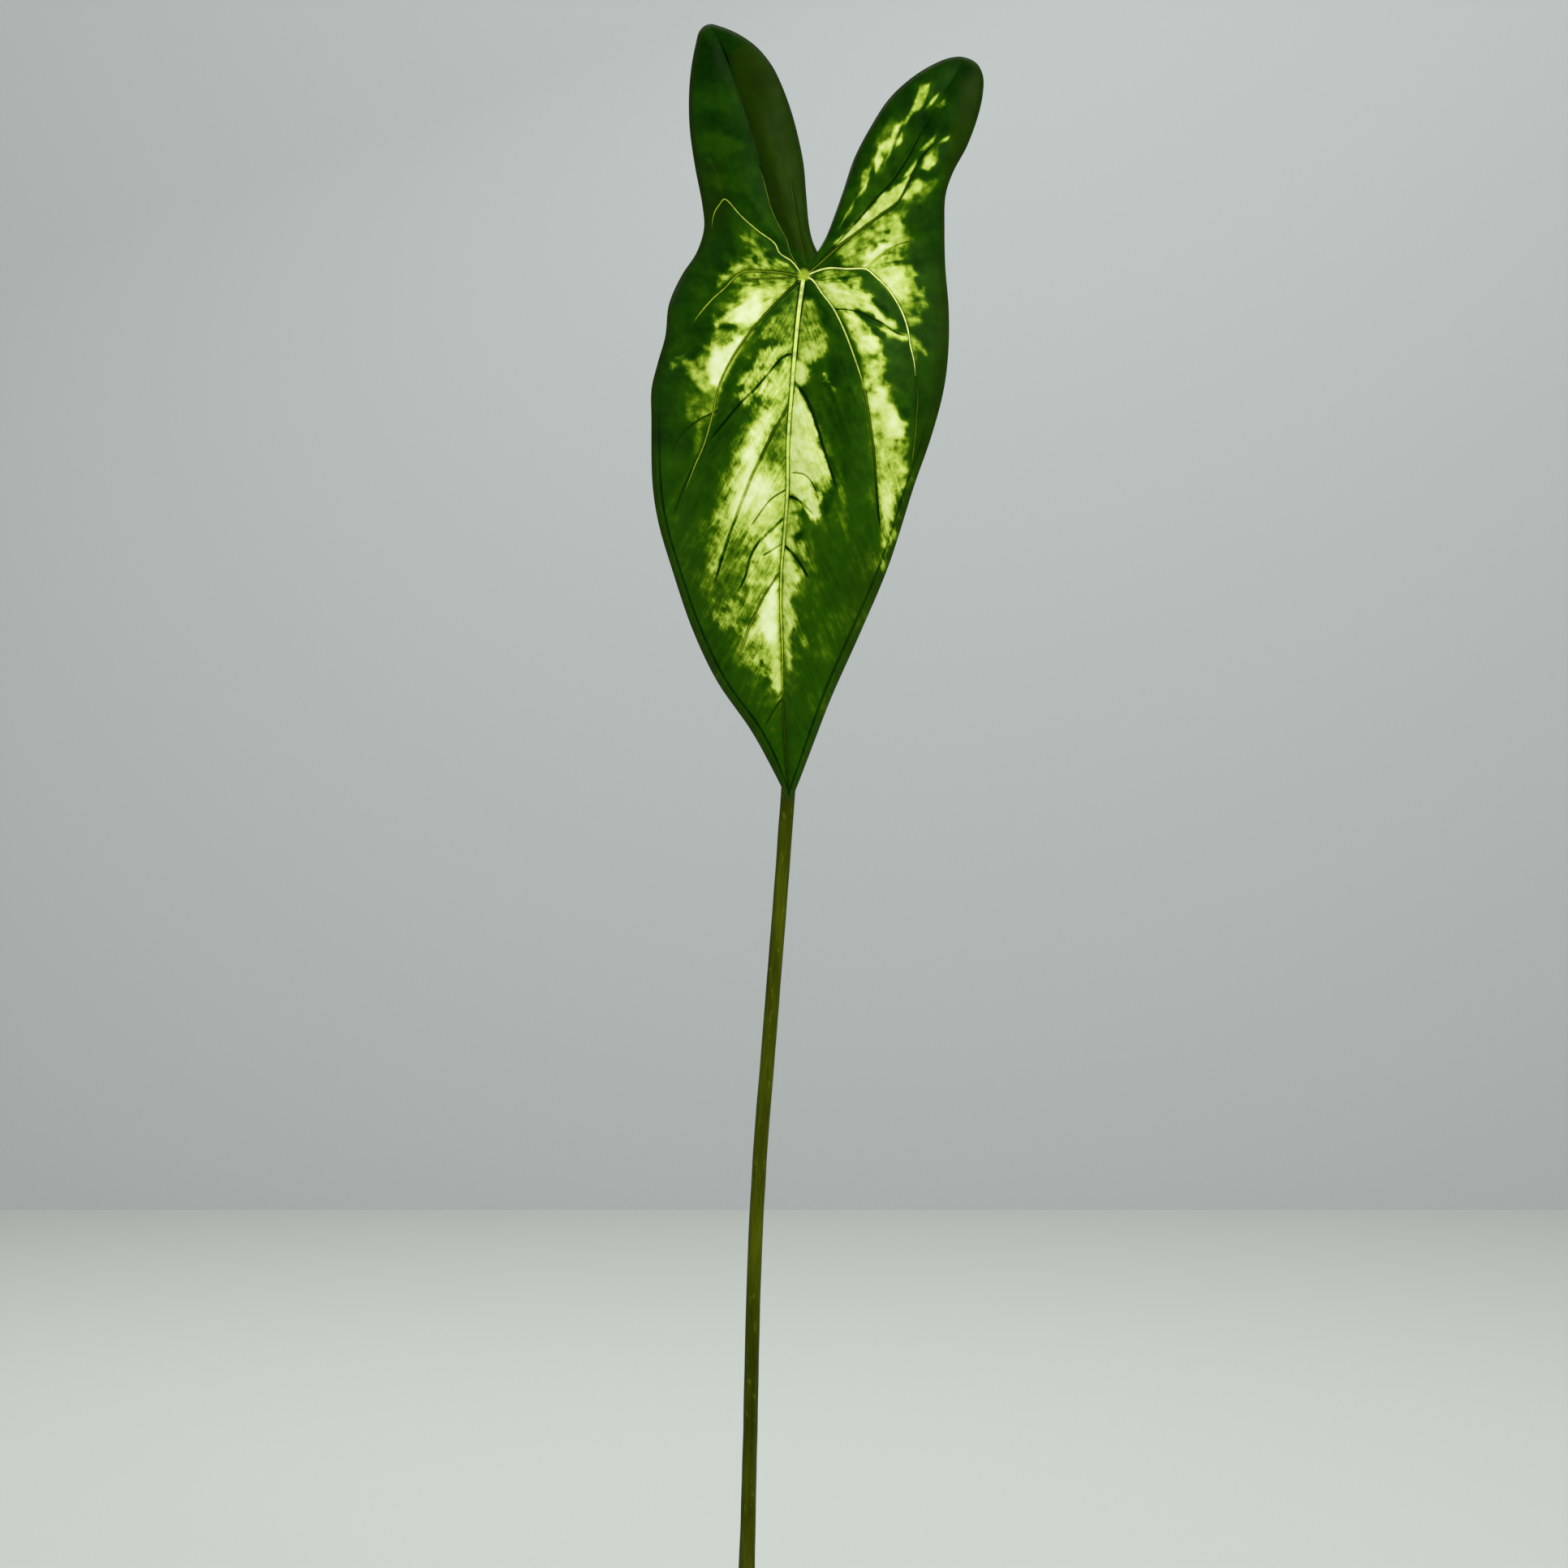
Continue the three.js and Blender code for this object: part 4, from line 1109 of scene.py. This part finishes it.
def add_stalk():
    route = NAVEL + np.array([(x, y, -down) for down, x, y in STALK_ROUTE])
    centres = evenly(smooth_curve(route), STALK_RINGS)
    tangents = np.gradient(centres, axis=0)
    tangents /= np.linalg.norm(tangents, axis=1)[:, None]
    angles = np.linspace(0.0, 2.0 * math.pi, STALK_SIDES, endpoint=False)
    rings, heights = [], []
    across = np.array([1.0, 0.0, 0.0])
    for centre, tangent in zip(centres, tangents):
        across = across - tangent * (across @ tangent)
        across /= np.linalg.norm(across)
        forward = np.cross(tangent, across)
        height = centre[2] - centres[0][2]
        front = angle_gap(angles, STALK_FRONT)
        groove = 0.16 * np.exp(-((front / 0.35) ** 2))
        rib = 0.018 * np.cos(11.0 * angles + 0.4)
        radius = stalk_radius(height) * (1.0 - groove + rib)
        closed = smoothstep(SHEATH_HEIGHT - height, 0.0, SHEATH_HEIGHT)
        overlap = 0.25 + 0.75 * closed
        lip = np.exp(-((angle_gap(angles, STALK_FRONT + overlap) / 0.22) ** 2))
        lip += 0.7 * np.exp(-((angle_gap(angles, STALK_FRONT - 0.6 * overlap) / 0.2) ** 2))
        radius = radius + SHEATH_LIP * lip * smoothstep(SHEATH_HEIGHT - height, 0.0, 60.0)
        sideways = np.outer(np.cos(angles) * radius, across)
        rings.append(centre + sideways + np.outer(np.sin(angles) * radius, forward))
        heights.append(height)
    rings = np.array(rings)
    flat = rings.reshape(-1, 3)
    rings += 0.12 * ripple(flat, 14.0, 4.0).reshape(rings.shape[:2])[..., None] * [1.0, 1.0, 0.0]
    stalk = ring_object("taro_leaf_stalk", rings, stalk_material())
    # The last two points are the middles of the two ends.
    up = np.append(np.repeat(heights, STALK_SIDES), [0.0, heights[-1]])
    turns = np.tile(angles, STALK_RINGS)
    round_x = np.append(np.cos(turns), [0.0, 0.0])
    round_y = np.append(np.sin(turns), [0.0, 0.0])
    set_attribute(stalk.data, "height", up)
    set_attribute(stalk.data, "grain", np.stack([round_x, round_y, GRAIN_STRETCH * up], axis=1))
    return stalk


def stalk_material():
    g = Graph("stalk_skin")
    grain = g.attribute("grain", "Vector")
    lines = g.noise(grain, 7.0, 4.0, 0.6)
    blotch = g.noise(g.place((1.0, 1.0, 0.3)), 90.0, 3.0)
    height = g.attribute("height")
    colour = g.ramp(g.math("MULTIPLY_ADD", g.math("SUBTRACT", lines, 0.5), 0.9, blotch), [
        (0.25, srgb(42, 50, 1)),
        (0.5, srgb(57, 66, 2)),
        (0.75, srgb(76, 86, 6)),
    ])
    colour = g.mix(g.span(height, 60.0, 0.0, 0.0, 0.55), colour, srgb(112, 112, 48))
    colour = g.mix(g.span(height, 22.0, 0.0, 0.0, 0.7), colour, srgb(150, 118, 92))
    colour = g.mix(g.span(height, 575.0, 640.0, 0.0, 0.7), colour, srgb(140, 160, 50))
    flecks = g.span(g.noise(g.place((1.0, 1.0, 0.35)), 520.0, 2.0), 0.62, 0.72)
    colour = g.mix(g.times(flecks, 0.3), colour, srgb(112, 122, 24))
    g.set(
        Base_Color=colour,
        Roughness=g.span(blotch, 0.3, 0.7, 0.4, 0.55),
        Specular_IOR_Level=0.06,
        Specular_Tint=(0.8, 1.0, 0.3, 1.0),
        Normal=g.bump(g.math("MULTIPLY_ADD", flecks, 0.3, lines), 0.00025, 0.6),
    )
    return g.material


def ring_object(name, rings, *materials):
    """A closed tube through an array of rings, with a fan on each end."""
    count, sides, _ = rings.shape
    vertices = [*rings.reshape(-1, 3), rings[0].mean(axis=0), rings[-1].mean(axis=0)]
    start, end = count * sides, count * sides + 1
    faces = []
    for j in range(sides):
        k = (j + 1) % sides
        faces.append((start, k, j))
        faces.append((end, start - sides + j, start - sides + k))
        for i in range(count - 1):
            a, b = i * sides, (i + 1) * sides
            faces.append((a + j, a + k, b + k, b + j))
    return mesh_object(name, np.array(vertices) * MM, faces, *materials)


# ---- Turned pieces: corm, soil and pot ----------------------------------------------------------


FILLET_STEPS = 5


def filleted(corners):
    """A profile with each corner of (radius, height, fillet) rounded off."""
    points = [np.array(c[:2], float) for c in corners]
    out = [points[0]]
    for before, corner, after, (_, _, fillet) in zip(points, points[1:], points[2:], corners[1:]):
        start = corner + (before - corner) * min(0.45, fillet / np.linalg.norm(before - corner))
        end = corner + (after - corner) * min(0.45, fillet / np.linalg.norm(after - corner))
        for t in np.linspace(0.0, 1.0, FILLET_STEPS) if fillet else [0.0]:
            out.append((1 - t) ** 2 * start + 2 * t * (1 - t) * corner + t * t * end)
    return np.array([*out, points[-1]])


def divided(profile, step):
    """The same profile with no stretch longer than a step."""
    out = [profile[0]]
    for a, b in zip(profile, profile[1:]):
        pieces = max(1, math.ceil(np.linalg.norm(b - a) / step))
        out += [a + (b - a) * (i + 1) / pieces for i in range(pieces)]
    return np.array(out)


def turned_object(name, profile, sides, shape, *materials):
    """A body turned from a profile whose two ends lie on the axis. shape moves each (x, y, z)."""
    angles = np.linspace(0.0, 2.0 * math.pi, sides, endpoint=False)
    rings = np.empty((len(profile) - 2, sides, 3))
    for ring, (radius, height) in zip(rings, profile[1:-1]):
        ring[:, 0] = radius * np.cos(angles)
        ring[:, 1] = radius * np.sin(angles)
        ring[:, 2] = height
    flat = rings.reshape(-1, 3)
    return ring_object(name, shape(flat).reshape(rings.shape), *materials)


POT_LOW, POT_HIGH = (np.array(corner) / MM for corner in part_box("pot"))
POT_TOP = POT_HIGH[2]
RIM_RADIUS = 0.5 * (POT_HIGH[0] - POT_LOW[0])
BASE_RADIUS = 58.0
WALL = 6.5
FLOOR = 9.0
COLLAR_HEIGHT = 34.0
COLLAR_STEP = 4.0
FLAT_FOOT = 1.2  # below this height the pot is left truly round and flat
DRAIN_RADIUS = 5.0
DRAIN_RING = 26.0
DRAIN_COUNT = 4
SOIL_TOP = POT_TOP - 16.0
WALL_GAP = 0.6  # between the soil and the pot's wall
FLOOR_GAP = 0.4  # between the soil and the pot's floor


def inner_radius(z):
    low, high = BASE_RADIUS - WALL + 1.0, RIM_RADIUS - WALL - 1.0
    return low + (high - low) * (z - FLOOR) / (POT_TOP - FLOOR)


def add_pot():
    collar_foot = POT_TOP - COLLAR_HEIGHT
    body_top = RIM_RADIUS - 2.0 * COLLAR_STEP
    profile = filleted([
        (0.0, 0.0, 0),
        (BASE_RADIUS, 0.0, 2.2),
        (body_top, collar_foot, 1.0),
        (body_top + COLLAR_STEP, collar_foot + 1.0, 1.6),
        (RIM_RADIUS, POT_TOP, 3.2),
        (RIM_RADIUS - WALL, POT_TOP - 0.4, 2.6),
        (inner_radius(FLOOR + 5.0), FLOOR + 5.0, 3.0),
        (inner_radius(FLOOR) - 5.0, FLOOR, 3.0),
        (0.0, FLOOR, 0),
    ])

    def throw(points):
        """Faint throwing rings and a wall that is not quite round, above the flat foot."""
        outward = points[:, :2] / np.linalg.norm(points[:, :2], axis=1)[:, None]
        rings = ripple(points * [0.012, 0.012, 1.0], 2.6, 5.0)
        swing = ripple(points * [1.0, 1.0, 0.35], 60.0, 2.0)
        lift = smoothstep(points[:, 2], FLAT_FOOT, 6.0)
        points[:, :2] += outward * ((0.22 * rings + 0.5 * swing) * lift)[:, None]
        return points

    pot = turned_object("clay_pot", divided(profile, 2.0), 144, throw, pot_material())
    drill_holes(pot)
    return pot


def drill_holes(pot):
    """Cuts the drain holes through the floor."""
    cutter = bmesh.new()
    for i in range(DRAIN_COUNT):
        angle = (i + 0.5) * 2.0 * math.pi / DRAIN_COUNT
        made = bmesh.ops.create_cone(
            cutter, cap_ends=True, segments=32, depth=3.0 * FLOOR * MM,
            radius1=DRAIN_RADIUS * MM, radius2=DRAIN_RADIUS * MM,
        )
        place = Vector((math.cos(angle), math.sin(angle), 0.0)) * DRAIN_RING * MM
        bmesh.ops.translate(cutter, verts=made["verts"], vec=place)
    mesh = bpy.data.meshes.new("drill")
    cutter.to_mesh(mesh)
    cutter.free()
    drill = new_object("drill", mesh)
    cut = pot.modifiers.new("holes", "BOOLEAN")
    cut.operation = "DIFFERENCE"
    cut.object = drill
    apply_modifiers(pot)
    bpy.data.objects.remove(drill)


def apply_modifiers(obj):
    graph = bpy.context.evaluated_depsgraph_get()
    mesh = bpy.data.meshes.new_from_object(obj.evaluated_get(graph))
    obj.modifiers.clear()
    obj.data = mesh


BLOOM_LEVEL = 0.108  # where bloom gathers under the collar, in metres


def pot_material():
    g = Graph("terracotta")
    broad = g.noise(g.place(), 22.0, 4.0, 0.6)
    fine = g.noise(g.place(), 240.0, 4.0, 0.7)
    colour = g.ramp(g.math("MULTIPLY_ADD", g.math("SUBTRACT", fine, 0.5), 0.5, broad), [
        (0.3, srgb(150, 84, 56)),
        (0.5, srgb(176, 104, 72)),
        (0.7, srgb(194, 126, 92)),
    ])
    height = g.parts(g.place())[2]
    # Lime bloom that damp clay gathers, most of it low down and under the collar.
    low = g.span(height, 0.05, 0.0)
    collar = g.span(g.gap(height, BLOOM_LEVEL), 0.016, 0.0)
    cloud = g.span(g.noise(g.place(), 60.0, 5.0, 0.7), 0.48, 0.7)
    bloom = g.times(g.math("MAXIMUM", low, collar), cloud)
    colour = g.mix(g.times(bloom, 0.6), colour, srgb(214, 196, 176))
    rim = g.times(g.span(height, 0.1465, 0.15), g.span(fine, 0.4, 0.6))
    colour = g.mix(g.times(rim, 0.5), colour, srgb(206, 150, 118))
    # Small pits in the clay, sunk by the bump and painted darker as the shade in them.
    pits = g.span(g.cells(g.place(), 420.0), 0.22, 0.1)
    colour = g.mix(g.times(pits, 0.35), colour, srgb(112, 60, 42))
    g.set(
        Base_Color=colour,
        Roughness=g.span(fine, 0.3, 0.7, 0.78, 0.92),
        Specular_IOR_Level=0.3,
        Normal=g.bump(g.math("MULTIPLY_ADD", pits, -0.8, fine), 0.0004, 0.55),
    )
    return g.material


CORM_RADIUS = 17.0
CORM_HEIGHT = 46.0
CORM_TOP = SOIL_TOP + 7.0
SCAR_SPACING = 3.1
SCAR_DEPTH = 0.75
# The corm's outline: its radius and its height as shares of the whole.
CORM_SHAPE = [(0, 0), (0.35, 0), (0.8, 0.14), (1, 0.42), (0.92, 0.68), (0.66, 0.86), (0.46, 1), (0, 1)]


def add_corm():
    foot = CORM_TOP - CORM_HEIGHT
    outline = smooth_curve([(r * CORM_RADIUS, foot + z * CORM_HEIGHT) for r, z in CORM_SHAPE[1:-1]])
    profile = np.vstack([[0.0, foot], divided(outline, 0.6), [0.0, CORM_TOP]])

    def ringed(points):
        """Leaf scars around it, each a sharp little step, on a body that is not quite round."""
        outward = points[:, :2] / np.maximum(np.linalg.norm(points[:, :2], axis=1), 1.0)[:, None]
        level = points[:, 2] + 0.9 * ripple(points, 11.0, 3.0)
        step = (level / SCAR_SPACING) % 1.0
        relief = -SCAR_DEPTH * step**2 + 0.5 * ripple(points, 3.0, 1.0) + 0.25 * ripple(points, 1.1, 2.0)
        points[:, :2] += outward * relief[:, None]
        return points

    return turned_object("taro_corm", profile, 96, ringed, corm_material())


def corm_material():
    g = Graph("corm_skin")
    fibre = g.noise(g.place((1.0, 1.0, 0.18)), 700.0, 4.0, 0.65)
    broad = g.noise(g.place((0.4, 0.4, 1.6)), 160.0, 3.0)
    colour = g.ramp(g.math("MULTIPLY_ADD", g.math("SUBTRACT", fibre, 0.5), 0.7, broad), [
        (0.3, srgb(58, 38, 24)),
        (0.5, srgb(98, 68, 44)),
        (0.72, srgb(150, 114, 82)),
    ])
    height = g.parts(g.place())[2]
    colour = g.mix(g.span(height, 0.137, 0.141, 0.0, 0.5), colour, srgb(168, 122, 118))
    g.set(Base_Color=colour, Roughness=0.85, Specular_IOR_Level=0.25, Normal=g.bump(fibre, 0.0006, 0.8))
    return g.material


SCALE_COUNT = 9
SCALE_TURN = 2.4  # from one scale to the next, in radians
SCALE_RING = 7.4  # how far from the stalk's axis they stand
SCALE_THICKNESS = 0.35
SCALE_ROWS = 12
SCALE_COLUMNS = 7


def add_scales():
    """Dry, papery remains of old leaf bases that stand around the stalk's foot."""
    rows, columns = SCALE_ROWS, SCALE_COLUMNS
    vertices, faces = [], []
    for i in range(SCALE_COUNT):
        heading = i * SCALE_TURN + RANDOM.uniform(-0.2, 0.2)
        tall = RANDOM.uniform(9.0, 19.0)
        wide = RANDOM.uniform(2.4, 3.8)
        lean = RANDOM.uniform(0.1, 0.3)
        first = len(vertices)
        for layer in (0.0, SCALE_THICKNESS):
            for r in range(rows):
                up = r / (rows - 1)
                half = wide * (1.0 - up**1.6) * (0.8 + 0.5 * up) + 0.12
                for c in range(columns):
                    across = (c / (columns - 1) - 0.5) * 2.0
                    radius = SCALE_RING + layer + lean * tall * up**1.7 - 0.9 * across**2 * half / wide
                    turn = heading + across * half / SCALE_RING
                    curl = 0.5 * math.sin(9.0 * up + i) * across
                    place = ((radius + curl) * math.cos(turn), (radius + curl) * math.sin(turn))
                    vertices.append((*place, CORM_TOP - 5.5 + tall * up))
        skin = rows * columns
        for r in range(rows - 1):
            for c in range(columns - 1):
                a = first + r * columns + c
                faces.append((a, a + columns, a + columns + 1, a + 1))
                b = a + skin
                faces.append((b, b + 1, b + columns + 1, b + columns))
        edge = [first + c for c in range(columns)]
        edge += [first + r * columns + columns - 1 for r in range(1, rows)]
        edge += [first + (rows - 1) * columns + c for c in range(columns - 2, -1, -1)]
        edge += [first + r * columns for r in range(rows - 2, 0, -1)]
        for a, b in zip(edge, edge[1:] + edge[:1]):
            faces.append((a, b, b + skin, a + skin))
    return mesh_object("dry_leaf_bases", np.array(vertices) * MM, faces, scale_material())


def scale_material():
    g = Graph("dry_leaf_base")
    fibre = g.noise(g.place((1.0, 1.0, 0.12)), 900.0, 4.0, 0.6)
    colour = g.ramp(fibre, [
        (0.3, srgb(104, 74, 48)),
        (0.5, srgb(150, 118, 80)),
        (0.7, srgb(190, 164, 124)),
    ])
    g.set(Base_Color=colour, Roughness=0.8, Specular_IOR_Level=0.25, Normal=g.bump(fibre, 0.0004, 0.7))
    return g.material


# ---- Soil ---------------------------------------------------------------------------------------


SOIL_BANK = 2.6  # how high the soil is banked up around the corm
SOIL_DIP = 1.2  # how far it dips where it meets the wall


def soil_height(radius):
    """The soil's level at a distance from the pot's axis."""
    bank = SOIL_BANK * np.exp(-((radius / 26.0) ** 2))
    return SOIL_TOP + bank - SOIL_DIP * smoothstep(radius, 60.0, 76.0)


def add_soil():
    wall = inner_radius(SOIL_TOP) - WALL_GAP
    foot = FLOOR + FLOOR_GAP
    side = filleted([
        (0.0, foot, 0),
        (inner_radius(foot) - 5.4, foot, 1.0),
        (inner_radius(16.0) - WALL_GAP, 16.0, 2.0),
        (wall, SOIL_TOP - 3.0, 1.0),
        (wall - 1.0, SOIL_TOP - 1.0, 0.5),
        (wall - 3.0, SOIL_TOP - 1.0, 0),
    ])
    radii = np.arange(wall - 4.0, 0.5, -0.9)
    top = np.stack([radii, soil_height(radii)], axis=1)
    profile = np.vstack([divided(side, 6.0), top, [0.0, soil_height(0.0)]])

    def crumble(points):
        lift = smoothstep(points[:, 2], SOIL_TOP - 4.0, SOIL_TOP - 1.0)
        rough = 1.3 * ripple(points, 9.0, 1.0) + 0.8 * ripple(points, 3.4, 2.0)
        rough = rough + 0.45 * ripple(points, 1.5, 3.0)
        points[:, 2] += rough * lift
        return points

    return turned_object("potting_soil", profile, 220, crumble, soil_material())


LUMP_CLEARANCE = 12.5  # how near the plant's middle loose lumps lie
LUMP_INSET = 14.0  # how much narrower than the pot the band is that they lie in
LUMP_SINK = 0.25  # the share of a lump's half height that is in the soil


def turned(cos, sin, first, second):
    """A turn in the plane of two axes, as a matrix for rows of coordinates."""
    matrix = np.eye(3)
    matrix[first, first] = matrix[second, second] = cos
    matrix[first, second] = sin
    matrix[second, first] = -sin
    return matrix


def scattered(name, count, sizes, flatness, roughness, material):
    """Loose lumps that lie on the soil, as one piece."""
    source = bmesh.new()
    bmesh.ops.create_icosphere(source, subdivisions=2, radius=1.0)
    ball = np.array([v.co for v in source.verts])
    triangles = [[v.index for v in face.verts] for face in source.faces]
    source.free()
    vertices, faces = [], []
    for i in range(count):
        size = RANDOM.uniform(*sizes)
        band = inner_radius(SOIL_TOP) - LUMP_INSET - size
        radius = LUMP_CLEARANCE + band * math.sqrt(RANDOM.random())
        angle = RANDOM.uniform(0.0, 2.0 * math.pi)
        stretch = np.array([1.0, RANDOM.uniform(0.55, 1.0), flatness * RANDOM.uniform(0.8, 1.2)])
        lump = ball * (1.0 + roughness * ripple(ball + 9.0 * i, 0.9))[:, None] * stretch * size
        tilt, spin = RANDOM.uniform(-0.5, 0.5), RANDOM.uniform(0.0, 2.0 * math.pi)
        lump = lump @ turned(math.cos(tilt), -math.sin(tilt), 0, 2)
        lump = lump @ turned(math.cos(spin), math.sin(spin), 0, 1)
        level = soil_height(radius) + size * flatness * (1.0 - LUMP_SINK)
        lump += [radius * math.cos(angle), radius * math.sin(angle), level]
        faces += [[len(vertices) + v for v in triangle] for triangle in triangles]
        vertices += list(lump)
    return mesh_object(name, np.array(vertices) * MM, faces, material)


def soil_material():
    g = Graph("soil")
    clumps = g.noise(g.place(), 260.0, 5.0, 0.7)
    colour = g.ramp(clumps, [(0.3, srgb(26, 18, 12)), (0.5, srgb(50, 35, 24)), (0.7, srgb(84, 62, 44))])
    g.set(Base_Color=colour, Roughness=0.95, Specular_IOR_Level=0.2, Normal=g.bump(clumps, 0.0012, 0.9))
    return g.material


def lump_material(name, dark, light, scale):
    g = Graph(name)
    grain = g.noise(g.place(), scale, 4.0, 0.7)
    colour = g.ramp(grain, [(0.3, dark), (0.7, light)])
    g.set(Base_Color=colour, Roughness=0.9, Specular_IOR_Level=0.25, Normal=g.bump(grain, 0.0005, 0.8))
    return g.material


# ---- Build --------------------------------------------------------------------------------------

add_camera()
add_stage()

soil_crumb = lump_material("soil_crumb", srgb(30, 21, 14), srgb(88, 66, 48), 500.0)
perlite = lump_material("perlite", srgb(206, 202, 190), srgb(238, 236, 228), 900.0)
bark = lump_material("bark", srgb(66, 40, 26), srgb(134, 92, 62), 420.0)

# Each piece, the CAD node it stands for, if any, and its material slot.
pieces = [
    (add_blade(), "leaf_blade", "variegated_leaf"),
    (add_stalk(), "leaf_stalk", "stalk_green"),
    (add_corm(), "corm", "corm_skin"),
    (add_scales(), None, "corm_skin"),
    (add_pot(), "pot", "terracotta"),
    (add_soil(), "soil", "potting_soil"),
    (scattered("soil_crumbs", 520, (0.8, 2.4), 0.8, 0.4, soil_crumb), None, "potting_soil"),
    (scattered("perlite_grains", 70, (0.9, 1.9), 0.85, 0.35, perlite), None, "potting_soil"),
    (scattered("bark_chips", 46, (2.2, 4.6), 0.32, 0.3, bark), None, "potting_soil"),
]
for piece, node, slot in pieces:
    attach(piece, "root")
    if node:
        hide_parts(node)
